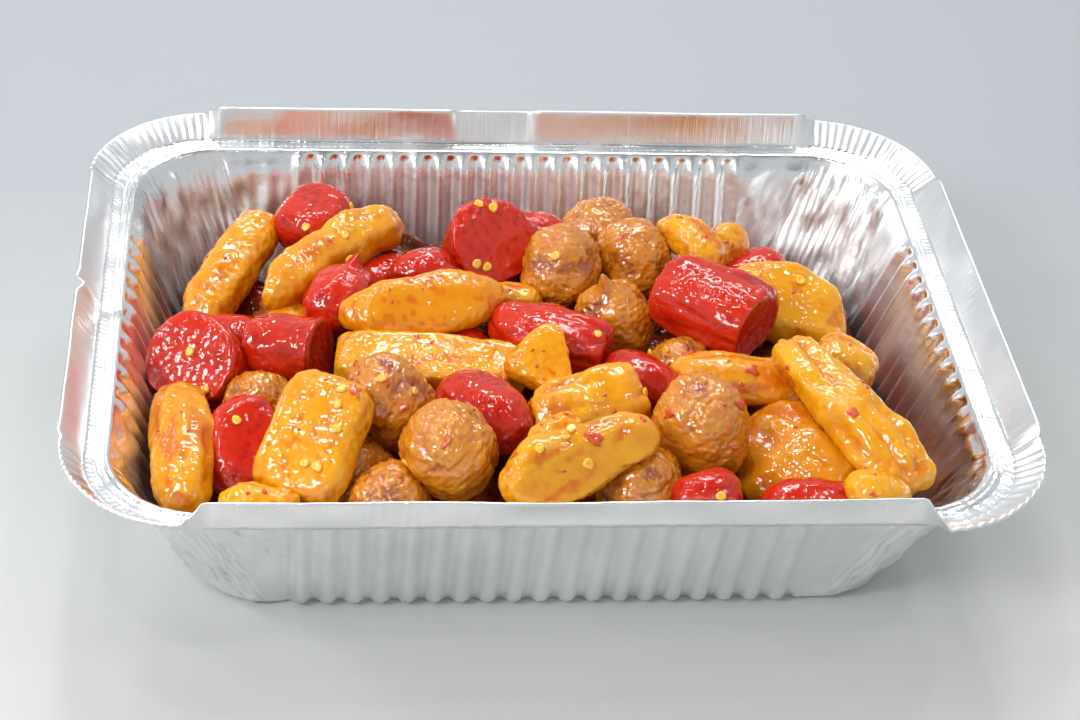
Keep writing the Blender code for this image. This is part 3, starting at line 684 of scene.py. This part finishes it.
yellow = {   # mm; tone is from light to deep, and a cut or a nub is as its function says
    "rows": 120, "columns": 76, "soften": 7, "swell": 0.8, "tone": None,
    "lump": 0.60, "lumpSize": 13.0, "rib": 0.20, "ribSize": 4.6, "ribStretch": 3.0, "knob": 0.10,
    "crease": 0.06, "creaseSize": 8.0, "creaseWidth": 0.22, "grain": 0.10, "cuts": (), "nubs": (),
}
yellowOwn = {
    "yellow_pepper_01": {"knob": 0.16, "cuts": (((1, 0, 0.1), 0.92, 0.3, 0.7),)},
    "yellow_pepper_02": {"nubs": ((75, 40, 1.8, 0.35),), "lump": 0.9, "rib": 0.3, "knob": 0.15},
    "yellow_pepper_03": {"tone": 1.5, "rib": 0.15, "lump": 0.6, "cuts": (((0, -0.3, 1), 0.78, 0.2, 0.7),)},
    "yellow_pepper_04": {"grain": 0.14, "cuts": (((-1, 0, 0), 0.92, 0.2, 0.4),
                                                 ((0.95, -0.2, 0.2), 0.90, 0.4, 0.5),
                                                 ((0, 0, 1), 0.80, 0.2, 0.5))},
    "yellow_pepper_05": {"tone": 1.0, "rib": 0.5, "ribStretch": 4.0, "nubs": ((12, 12, 2.6, 0.42),),
                         "cuts": (((1, 0, 0.2), 0.94, 0.3, 0.5),)},
    "yellow_pepper_06": {"rib": 0.08, "knob": 0.05, "lump": 0.35,
                         "cuts": (((0, 0, 1), 0.74, 0.2, 0.5), ((-1, 0, 0), 0.93, 0.0, 0.6))},
    "yellow_pepper_07": {"rib": 0.10, "cuts": (((0, -0.2, 1), 0.6, 0.1, 0.3),)},
    "yellow_pepper_08": {"rib": 0.35, "crease": 0.5, "creaseSize": 7.0, "creaseWidth": 0.3,
                         "cuts": (((1, 0.1, 0.15), 0.84, 0.2, 0.5),)},
    "yellow_pepper_09": {"rib": 0.25, "crease": 0.3, "cuts": (((0, -0.5, 1), 0.64, 0.0, 0.4),)},
    "yellow_pepper_13": {"tone": -1.0, "lump": 0.6,
                         "cuts": (((0, 0, 1), 0.80, 0.3, 0.7), ((1, 0.5, 0), 0.85, 0.0, 0.6))},
    "yellow_pepper_14": {"rib": 0.55, "ribSize": 4.0, "ribStretch": 5.5, "crease": 0.55, "creaseWidth": 0.3},
    "yellow_pepper_15": {"tone": 1.8, "rib": 0.60, "ribSize": 6.0, "ribStretch": 4.5,
                         "crease": 0.5, "creaseWidth": 0.3},
    "yellow_pepper_16": {"tone": 1.2, "rib": 0.45, "ribSize": 4.0, "ribStretch": 6.0, "crease": 0.3},
    "yellow_pepper_19": {"swell": 0.0},
}


def buildYellow(node, seed):
    # slow lumps, ribs that run along the piece as waves stretched lengthwise, and fine creases
    look = {**yellow, **yellowOwn.get(node, {})}
    form = foodForm(node, look["rows"], look["columns"], look["soften"])
    local = form["local"]
    drawn = local / np.array([look["ribStretch"], 1, 1])
    relief = (look["rib"] * waves(drawn, look["ribSize"], seed + 1)
              + look["crease"] * creases(drawn, look["creaseSize"], look["creaseWidth"], seed + 2)
              + look["knob"] * waves(local, 3.6, seed + 4) + look["grain"] * waves(local, 1.8, seed + 3))
    relief = levelPoles(relief)
    slow = levelPoles(look["lump"] * waves(local, look["lumpSize"], seed))
    local = local + form["outward"] * (slow + relief + look["swell"])[..., None]
    local = growNubs(form, cutEnds(form, local, look["cuts"]), look["nubs"])
    finishFood(form, local, relief, "yellow_pepper", seed, look["tone"])


red = {   # mm; disc is the power of a rounded disc's section, or 0 for none
    "rows": 96, "columns": 76, "soften": 10, "swell": 0.75, "disc": 0.0,
    "lump": 0.35, "lumpSize": 10.0, "rib": 0.10, "ribSize": 3.4, "ribStretch": 4.0,
    "crease": 0.08, "creaseSize": 7.0, "creaseWidth": 0.2, "grain": 0.07, "rough": 0.0,
    "rim": 0.0, "rimAt": 0.8, "rimWidth": 0.10, "cuts": (), "nubs": (),
}
redOwn = {
    "red_pepper_01": {"rough": 0.08, "cuts": (((0, 0, 1), 0.8, 0.2, 0.8),)},
    "red_pepper_02": {"disc": 4.5, "rough": 0.30, "lump": 0.25,
                      "cuts": (((0.1, -0.2, 1), 0.66, 0.1, 0.35),)},
    "red_pepper_04": {"rib": 0.16, "rough": 0.06, "nubs": ((50, 52, 3.6, 0.17),)},
    "red_pepper_06": {"disc": 4.5, "rough": 0.08, "lump": 0.25,
                      "cuts": (((0.1, -0.2, 1), 0.70, 0.2, 0.35),)},
    "red_pepper_07": {"rim": 0.9, "rimAt": 0.74,
                      "cuts": (((1, 0, 0), 0.88, 1.4, 0.4), ((-1, 0, 0), 0.9, 0.4, 0.7))},
    "red_pepper_09": {"cuts": (((0, -0.2, 1), 0.76, 0.2, 0.6),)},
    "red_pepper_10": {"rib": 0.25, "crease": 0.4, "cuts": (((1, 0, 0), 0.93, 0.5, 0.5),)},
    "red_pepper_11": {"rib": 0.22, "crease": 0.35, "rim": 0.3, "rimAt": 0.76,
                      "cuts": (((1, -0.1, 0), 0.87, 1.4, 0.4), ((-1, 0, 0), 0.88, 0.5, 0.6))},
    "red_pepper_12": {"rough": 0.06, "cuts": (((1, 0, 0), 0.9, 0.4, 0.7),)},
}


def discShare(level, power):
    # how far a ball's side is let out to stand up like a disc's, by the height from its middle: the
    # radius of a squarer round, (1 - level^power)^(1/power), over the ball's own
    own = np.sqrt(np.clip(1 - level ** 2, 1e-6, None))
    return np.clip((1 - level ** power) ** (1 / power) / own, 1, 1.35)[..., None]


def buildRed(node, seed):
    # smooth skin with slow dents and faint lengthwise folds; cut ends are dished, some with a rim
    look = {**red, **redOwn.get(node, {})}
    form = foodForm(node, look["rows"], look["columns"], look["soften"])
    local = form["local"]
    drawn = local / np.array([look["ribStretch"], 1, 1])
    relief = (look["rib"] * waves(drawn, look["ribSize"], seed + 1)
              + look["crease"] * creases(drawn, look["creaseSize"], look["creaseWidth"], seed + 2)
              + look["grain"] * waves(local, 1.6, seed + 3)
              + look["rough"] * waves(local, 1.7, seed + 4) * smoothStep(form["ball"][..., 2], 0.1, 0.5))
    relief = levelPoles(relief)
    slow = levelPoles(look["lump"] * waves(local, look["lumpSize"], seed))
    if look["disc"]:
        upright = discShare(np.abs(form["ball"][..., 2]), look["disc"])
        local = local * np.concatenate([upright, upright, np.ones_like(upright)], -1)
    place = local[..., 0] / form["half"][0]
    rim = look["rim"] * np.exp(-((place - look["rimAt"]) / look["rimWidth"]) ** 2)
    local = local + form["outward"] * (slow + relief + rim + look["swell"])[..., None]
    local = growNubs(form, cutEnds(form, local, look["cuts"]), look["nubs"])
    finishFood(form, local, relief, "red_pepper", seed)


ball = {   # mm
    "rows": 120, "columns": 120, "soften": 16, "swell": 0.75, "nodule": 0.55, "noduleSize": (1.3, 3.6),
    "nodules": 230, "wrinkle": 0.24, "wrinkleSize": 5.0, "wrinkleWidth": 0.17, "wrinkleBend": 1.4,
    "slow": 0.45, "grain": 0.14, "nubs": (),
}
ballOwn = {"meatball_04": {"nubs": ((175, 72, 4.5, 0.17),)}}


def buildMeatball(node, seed):
    # nodules of minced meat as domes on the ball's skin, wrinkles between them and a fine grain
    look = {**ball, **ballOwn.get(node, {})}
    form = foodForm(node, look["rows"], look["columns"], look["soften"])
    local = form["local"]
    rng = np.random.default_rng(seed)
    way = rng.normal(size=(look["nodules"], 3))
    way /= np.linalg.norm(way, axis=1, keepdims=True)
    lumps = domes(local, way * form["half"], rng.uniform(*look["noduleSize"], look["nodules"]))
    bent = local + look["wrinkleBend"] * waves(local, 5, seed + 2)[..., None]
    relief = (look["nodule"] * (lumps - 0.6) + look["slow"] * waves(local, 9, seed + 1)
              + look["wrinkle"] * creases(bent, look["wrinkleSize"], look["wrinkleWidth"], seed + 3)
              + look["grain"] * waves(local, 1.3, seed + 4))
    relief = levelPoles(relief)
    local = local + form["outward"] * (relief + look["swell"])[..., None]
    local = growNubs(form, local, look["nubs"])
    finishFood(form, local, relief, "meatball", seed)


builders = {"yellow_pepper": buildYellow, "red_pepper": buildRed, "meatball": buildMeatball}
for number, node in enumerate(sorted(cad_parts)):
    family = node.rsplit("_", 1)[0]
    if family in builders:
        builders[family](node, 100 + 10 * number)
print("food built:", len(skins), "pieces")


bed = {   # mm
    "rings": 64, "columns": 190, "lumps": 150, "lumpWidth": (5.5, 9.0), "lumpHeight": (2.0, 5.0),
    "inset": 1.2, "squareness": 4.2, "swirl": 0.5, "sink": 2.2, "bottom": 1.2,
    # the side below the top's edge: share of the height that is left, and of the width
    "side": ((0.92, 1.0), (0.75, 0.99), (0.5, 0.965), (0.25, 0.93), (0.1, 0.905), (0.04, 0.89), (0.0, 0.86)),
}


def heightOver(places, triangles):
    # the highest crossing of an upright line with the triangles, by their flat shares; -1 if none
    a, b, c = triangles[:, 0], triangles[:, 1], triangles[:, 2]
    whole = (b[:, 0] - a[:, 0]) * (c[:, 1] - a[:, 1]) - (c[:, 0] - a[:, 0]) * (b[:, 1] - a[:, 1])
    keep = np.abs(whole) > 1e-6
    a, b, c, whole = a[keep], b[keep], c[keep], whole[keep]
    x = places[:, None, 0] - a[:, 0]
    y = places[:, None, 1] - a[:, 1]
    shareB = (x * (c[:, 1] - a[:, 1]) - y * (c[:, 0] - a[:, 0])) / whole
    shareC = (y * (b[:, 0] - a[:, 0]) - x * (b[:, 1] - a[:, 1])) / whole
    inside = (shareB > -1e-6) & (shareC > -1e-6) & (shareB + shareC < 1 + 1e-6)
    height = a[:, 2] + shareB * (b[:, 2] - a[:, 2]) + shareC * (c[:, 2] - a[:, 2])
    return np.where(inside, height, -1.0).max(axis=1)


def bedTop(half, middle, edge, triangles):
    # rings of the top from the middle out: the solid's height smoothed and sunk, plus the highest of
    # many half-ball lumps and a slow swirl; returns also the lumps' height and each one's kind
    shares = np.linspace(0, 1, bed["rings"])
    places = shares[:, None, None] * edge + middle
    height = heightOver(places.reshape(-1, 2), triangles).reshape(bed["rings"], -1)
    for row in range(1, bed["rings"]):                            # past the solid the last height is kept
        height[row] = np.where(height[row] < 0, height[row - 1], height[row])
    for _ in range(6):
        height = 0.5 * height + 0.25 * (np.roll(height, 1, 1) + np.roll(height, -1, 1))
        height[1:-1] = 0.5 * height[1:-1] + 0.25 * (height[:-2] + height[2:])
    rng = np.random.default_rng(7)
    spots = rng.uniform(-1, 1, (bed["lumps"], 2)) * half * 0.95 + middle
    widths = rng.uniform(*bed["lumpWidth"], bed["lumps"])
    rises = rng.uniform(*bed["lumpHeight"], bed["lumps"])
    kinds = rng.integers(0, 3, bed["lumps"])                      # yellow, red or meat
    gap = np.linalg.norm(places[:, :, None, :] - spots, axis=-1) / widths
    dome = np.sqrt(np.clip(1 - gap ** 2, 0, None)) * rises
    swirl = bed["swirl"] * waves(np.concatenate([places, height[..., None]], -1), 6, 8)
    top = height - bed["sink"] + dome.max(-1) + swirl
    top[0] = top[0].mean()
    return np.concatenate([places, top[..., None]], -1), swirl, dome.max(-1), kinds[dome.argmax(-1)]


def buildBed():
    # the top's rings from the middle out, then rings down the side and in under the bottom; the
    # outline is a squarish round, |cos|^(2/squareness) by |sin|^(2/squareness)
    triangles = nodeTriangles("sauce_bed")
    flat = triangles.reshape(-1, 3)
    low, high = flat.min(0)[:2], flat.max(0)[:2]
    middle, half = 0.5 * (low + high), 0.5 * (high - low) - bed["inset"]
    angle = np.linspace(0, fullTurn, bed["columns"], endpoint=False)
    way = np.stack([np.cos(angle), np.sin(angle)], -1)
    edge = np.sign(way) * np.abs(way) ** (2 / bed["squareness"]) * half
    top, swirl, lump, kind = bedTop(half, middle, edge, triangles)
    rows = [top]
    for left, width in bed["side"]:
        level = bed["bottom"] + (top[-1, :, 2] - bed["bottom"]) * left
        rows.append(np.column_stack([middle + edge * width, level])[None])
    rows.append(np.broadcast_to([*middle, bed["bottom"]], (1, bed["columns"], 3)))
    grid = np.concatenate(rows)
    below = np.zeros((len(grid) - bed["rings"], bed["columns"]))
    # the relief mark stays at 0.6 or below, so the sauce takes no painted light from it; where the swirl is
    # low, and on the side and bottom, it takes painted shade
    marks = {"relief": smoothStep(swirl, -0.6, 0.6) * 0.6, "tone": np.zeros_like(swirl),
             "buried": smoothStep(lump, 0.6, 2.4), "kind": kind}
    marks = {name: poleList(np.concatenate([values, below])) for name, values in marks.items()}
    points = poleList(grid)
    faces = turnOutwards(points, closedFaces(*grid.shape[:2]))
    addPiece("sauce_and_buried_food", points, faces, makeBedFinish(), ["sauce_bed"], marks)


buriedColours = {   # as seen through sauce, in linear light
    "yellow": (0.42, 0.12, 0.012, 1), "red": (0.22, 0.008, 0.005, 1), "meat": (0.14, 0.04, 0.008, 1),
}


def makeBedFinish():
    # the sauce's glaze, mixed with the colours of buried food by its lumps and by noise
    finish = finishes["sauce"].copy()
    finish.name = "sauceOverFood"
    tree = finish.node_tree
    shader = tree.nodes["Principled BSDF"]
    buried = addNode(tree, "ShaderNodeAttribute", attribute_name="buried").outputs["Fac"]
    kind = addNode(tree, "ShaderNodeAttribute", attribute_name="kind").outputs["Fac"]
    where = addNode(tree, "ShaderNodeTexCoord").outputs["Object"]
    pepper = mixColour(tree, rescale(tree, kind, 0.4, 0.6), buriedColours["yellow"], buriedColours["red"])
    food = mixColour(tree, rescale(tree, kind, 1.4, 1.6), pepper, buriedColours["meat"])
    patches = rescale(tree, noise(tree, where, 170.0, 3.0), 0.35, 0.6, 0.35, 0.9)
    bare = shader.inputs["Base Color"].links[0].from_socket
    tree.links.new(mixColour(tree, combine(tree, "MULTIPLY", buried, patches), bare, food),
                   shader.inputs["Base Color"])
    return finish


buildBed()
print("sauce built")


def skinPlace(node, heading, rise):
    # the point and the outward way of a finished piece's skin, seen from its middle
    low, high = (np.array(corner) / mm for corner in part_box(node))
    middle = 0.5 * (low + high)
    heading, rise = np.radians(heading), np.radians(rise)
    ray = np.array([[np.cos(rise) * np.cos(heading), np.cos(rise) * np.sin(heading), np.sin(rise)]])
    triangles = skins[node]
    far, index = castOut(middle, ray, triangles)
    a, b, c = triangles[index[0]]
    normal = np.cross(b - a, c - a)
    return middle + far[0] * ray[0], normal / np.linalg.norm(normal)


def layAxes(normal, spin):
    # two axes in the skin, turned about its normal by spin in radians, and the normal
    across = np.cross(normal, (0.3, 0.2, 0.93))
    across /= np.linalg.norm(across)
    other = np.cross(normal, across)
    first = np.cos(spin) * across + np.sin(spin) * other
    return np.array([first, np.cross(normal, first), normal])


def addMany(name, forms, faces, places, sizes, finish):
    # closed forms joined into one mesh, each turned by its own axes, with its own place and size
    count, size = len(sizes), forms.shape[1]
    points = np.einsum("nsk,nka->nsa", forms * sizes[:, None, :], places["axes"]) + places["at"][:, None, :]
    step = (np.arange(count) * size)[:, None, None]
    faces = [(part[None] + step).reshape(-1, part.shape[1]) for part in faces]
    addPiece(name, points.reshape(-1, 3), faces, finish)


seeds = {   # mm; each spot is a piece and the heading and rise in degrees seen from its middle
    "size": (1.35, 1.15, 0.62), "proud": 0.28, "dish": 0.40, "notch": 0.14, "uneven": 0.05,
    "body": (0.90, 0.42, 0.015, 1), "edge": (0.96, 0.58, 0.07, 1), "rough": 0.12, "see": 0.2,
    "spots": [
        ("red_pepper_06", -135, 65), ("red_pepper_06", -79, -1), ("yellow_pepper_06", 36, 57),
        ("yellow_pepper_06", -33, 49), ("yellow_pepper_06", -103, 7), ("yellow_pepper_06", -86, 7),
        ("yellow_pepper_06", 14, 62), ("meatball_05", -115, 63), ("meatball_05", -47, 45),
        ("meatball_06", -164, -3), ("red_pepper_02", -113, -2), ("red_pepper_02", -96, -10),
        ("red_pepper_02", 132, 67), ("red_pepper_02", 75, 72), ("red_pepper_10", -32, 23),
        ("meatball_12", 156, 20), ("yellow_pepper_08", 2, 19), ("yellow_pepper_09", -162, 32),
        ("yellow_pepper_09", -65, 28), ("yellow_pepper_09", 125, 63), ("yellow_pepper_09", 169, 62),
        ("meatball_02", -113, 52), ("red_pepper_09", 147, 79), ("yellow_pepper_12", -67, -2),
        ("yellow_pepper_13", 166, 42), ("yellow_pepper_14", 124, 11), ("meatball_12", -156, 59),
        ("red_pepper_14", -64, 35), ("yellow_pepper_13", 30, 60), ("red_pepper_04", 60, 50),
        ("yellow_pepper_02", 40, 60), ("red_pepper_01", -100, 20), ("red_pepper_01", 10, 15)],
}
flakes = {   # mm; the own ones are spots with a reach
    "reach": (0.4, 1.1), "height": 0.22, "proud": 0.10, "wave": 0.5, "perPiece": 3,
    "body": (0.58, 0.040, 0.004, 1), "edge": (0.70, 0.09, 0.006, 1), "rough": 0.25, "see": 0.15,
    "own": [("meatball_07", -150, 38, 1.9), ("meatball_07", -20, 45, 2.0), ("meatball_07", -60, 12, 1.3),
            ("meatball_06", -100, 50, 1.6), ("meatball_05", -75, 30, 1.5),
            ("yellow_pepper_09", 20, 60, 2.1),
            ("yellow_pepper_06", 25, 50, 2.0), ("yellow_pepper_14", -110, 40, 1.9),
            ("meatball_12", -70, 60, 2.0), ("yellow_pepper_16", -60, 60, 1.7)],
}


def placesOn(spots, proud, rng):
    # where each thing lies: proud of the skin in mm, turned at random about the skin's normal
    found = [skinPlace(*spot) for spot in spots]
    normals = np.array([normal for _, normal in found])
    spins = rng.uniform(0, fullTurn, len(spots))
    return {"at": np.array([place for place, _ in found]) + normals * proud,
            "axes": np.array([layAxes(normal, spin) for normal, spin in zip(normals, spins)])}


def discForm(rows, columns, dish=0.0, notch=0.0):
    # a ball with its middle dished by a bell curve and a notch in its edge, to be pressed thin
    grid = ballGrid(rows, columns)
    spread = np.hypot(grid[..., 0], grid[..., 1])
    grid[..., 2] -= dish * np.exp(-(spread / 0.45) ** 2) * np.sign(grid[..., 2])
    grid[..., 0] *= 1 + 0.12 * grid[..., 1]
    turn = np.arctan2(grid[..., 1], grid[..., 0])
    grid[..., :2] *= (1 - notch * np.exp(-(turn / 0.4) ** 2))[..., None]
    return grid


def makeBitFinish(name, look):
    # a small wet seed or flake: its colour drifts from body to edge, and some light passes through
    finish = bpy.data.materials.new(name)
    finish.use_nodes = True
    tree = finish.node_tree
    shader = tree.nodes["Principled BSDF"]
    where = addNode(tree, "ShaderNodeTexCoord").outputs["Object"]
    drift = rescale(tree, noise(tree, where, 700.0, 3.0), 0.35, 0.65)
    tree.links.new(mixColour(tree, drift, look["body"], look["edge"]), shader.inputs["Base Color"])
    bump = addNode(tree, "ShaderNodeBump", {"Height": noise(tree, where, 1600.0, 2.0), "Distance": 0.00020,
                                            "Strength": 1.0})
    tree.links.new(bump.outputs[0], shader.inputs["Normal"])
    for label, value in (("Roughness", look["rough"]), ("Coat Weight", 0.8), ("Coat Roughness", 0.06),
                         ("Subsurface Weight", look["see"]), ("Subsurface Scale", 0.001)):
        shader.inputs[label].default_value = value
    return finish


def buildSeeds():
    # every seed is a dished lens, a little uneven, laid on the skin under its spot
    rng = np.random.default_rng(21)
    places = placesOn(seeds["spots"], seeds["proud"], rng)
    grid = discForm(13, 26, seeds["dish"], seeds["notch"])
    grid = levelPoles(grid * (1 + seeds["uneven"] * waves(grid, 1.6, 23))[..., None])
    sizes = np.array(seeds["size"]) * rng.uniform(0.85, 1.1, (len(seeds["spots"]), 1))
    form = poleList(grid)
    faces = turnOutwards(form, closedFaces(*grid.shape[:2]))
    finish = makeBitFinish("seedSkin", seeds)
    addMany("pepper_seeds", form[None], faces, places, sizes, finish)


def buildFlakes():
    # thin patches of dried chilli: an outline with three and five lobes, bent by a cosine wave
    rng = np.random.default_rng(22)
    spots, reach = [], []
    for node in sorted(node for node in skins if not node.startswith("red")):
        for _ in range(flakes["perPiece"]):
            spots.append((node, rng.uniform(-180, 180), rng.uniform(12, 80)))
            reach.append(rng.uniform(*flakes["reach"]) * rng.uniform(0.6, 1))
    for node, heading, rise, size in flakes["own"]:
        spots.append((node, heading, rise))
        reach.append(size)
    places = placesOn(spots, flakes["proud"], rng)
    reach, count = np.array(reach), len(reach)
    sizes = np.column_stack([reach, reach * rng.uniform(0.45, 0.9, count), np.full(count, flakes["height"])])
    grid = discForm(7, 14)
    form = poleList(grid)
    angle = np.arctan2(form[:, 1], form[:, 0])
    lobes = rng.uniform(0, fullTurn, (count, 2, 1))
    outline = 1 + 0.22 * np.cos(3 * angle + lobes[:, 0]) + 0.15 * np.cos(5 * angle + lobes[:, 1])
    forms = form * np.stack([outline, outline, np.ones_like(outline)], -1)
    forms[..., 2] += flakes["wave"] * np.cos(2.2 * forms[..., 0] + lobes[:, 0])
    faces = turnOutwards(form, closedFaces(*grid.shape[:2]))
    finish = makeBitFinish("flakeSkin", flakes)
    addMany("chilli_flakes", forms, faces, places, sizes, finish)


buildSeeds()
buildFlakes()
print("seeds and flakes laid")


floor = {   # m; the colour turns from near to far between two places along Y; the brighter near colour is painted light, standing in for light that the tray shades off the front
    "half": 2.5, "near": (0.655, 0.66, 0.63, 1), "far": (0.40, 0.425, 0.447, 1), "turnsAt": (-0.12, 0.12),
    "rough": 0.45,
}
lights = [   # heading and height in degrees, distance in m, size in m, power in W
    {"name": "frontLeft", "from": (216, 41), "far": 1.13, "size": (0.30, 0.30), "power": 5.4},
    {"name": "backPanel", "from": (85, 52), "far": 1.00, "size": (0.46, 0.16), "power": 2.6},
    {"name": "leftWindow", "from": (172, 33), "far": 0.95, "size": (0.10, 0.12), "power": 1.1},
]
sparkles = {   # small bright lamps, whose reflections glint on wet skin
    "from": ((62, 52), (98, 50), (128, 54), (150, 60), (60, 68), (105, 70), (160, 74), (30, 56), (190, 60),
             (235, 68), (335, 58)),
    "far": 1.0, "size": (0.055, 0.055), "power": 0.46,
}
sky = {   # it darkens between two heights of the way looked along, of which 1 is straight up
    "level": (0.58, 0.605, 0.62, 1), "above": (0.17, 0.175, 0.18, 1), "darkensAt": (0.58, 0.92),
}
view = {   # m, degrees and mm
    "at": (-0.05862, -0.44506, 0.36614), "lookAt": (0.00277, 0.00990, 0.02), "roll": 4.73, "lens": 77.46,
}


def buildFloor():
    # a square pale table top, darker and a little cooler towards the back; the lighter front is painted
    # light where the tray's shade falls
    corners = [(x * floor["half"], y * floor["half"], 0) for x, y in ((-1, -1), (1, -1), (1, 1), (-1, 1))]
    mesh = bpy.data.meshes.new("tableTop")
    mesh.from_pydata(corners, [], [(0, 1, 2, 3)])
    finish = bpy.data.materials.new("paleTable")
    finish.use_nodes = True
    tree = finish.node_tree
    shader = tree.nodes["Principled BSDF"]
    where = addNode(tree, "ShaderNodeTexCoord").outputs["Object"]
    depth = addNode(tree, "ShaderNodeSeparateXYZ", {0: where}).outputs[1]
    tree.links.new(mixColour(tree, rescale(tree, depth, *floor["turnsAt"]), floor["near"], floor["far"]),
                   shader.inputs["Base Color"])
    shader.inputs["Roughness"].default_value = floor["rough"]
    mesh.materials.append(finish)
    top = bpy.data.objects.new("tableTop", mesh)
    bpy.context.scene.collection.objects.link(top)


def buildLights():
    # every lamp looks at the origin from its heading, height and distance; the sky's colour goes by
    # the height of the way looked along
    small = [{**sparkles, "name": "sparkle", "from": place} for place in sparkles["from"]]
    for entry in lights + small:
        lamp = bpy.data.lights.new(entry["name"], "AREA")
        lamp.shape = "RECTANGLE"
        lamp.size, lamp.size_y = entry["size"]
        lamp.energy = entry["power"]
        holder = bpy.data.objects.new(entry["name"], lamp)
        heading, height = np.radians(entry["from"])
        level = np.cos(height)
        way = Vector((level * np.cos(heading), level * np.sin(heading), np.sin(height)))
        holder.location = entry["far"] * way
        holder.rotation_euler = (-holder.location).to_track_quat("-Z", "Y").to_euler()
        bpy.context.scene.collection.objects.link(holder)
    world = bpy.data.worlds.new("studio")
    world.use_nodes = True
    tree = world.node_tree
    way = addNode(tree, "ShaderNodeTexCoord").outputs["Generated"]
    height = addNode(tree, "ShaderNodeSeparateXYZ", {0: way}).outputs[2]
    tree.links.new(mixColour(tree, rescale(tree, height, *sky["darkensAt"]), sky["level"], sky["above"]),
                   tree.nodes["Background"].inputs[0])
    bpy.context.scene.world = world


def buildCamera():
    # looks from one point at another; its level axes are turned about the line of sight by the roll
    camera = bpy.data.cameras.new("camera")
    camera.sensor_width = 36.0
    camera.lens = view["lens"]
    camera.clip_start = 0.01
    ahead = (Vector(view["lookAt"]) - Vector(view["at"])).normalized()
    level = ahead.cross(Vector((0, 0, 1))).normalized()
    upright = level.cross(ahead)
    roll = np.radians(view["roll"])
    right = level * np.cos(roll) + upright * np.sin(roll)
    up = upright * np.cos(roll) - level * np.sin(roll)
    holder = bpy.data.objects.new("camera", camera)
    holder.matrix_world = Matrix((right, up, -ahead)).transposed().to_4x4()
    holder.location = view["at"]
    bpy.context.scene.collection.objects.link(holder)
    bpy.context.scene.camera = holder


buildFloor()
buildLights()
buildCamera()
bpy.context.scene.view_settings.view_transform = "Standard"
print("stage set")
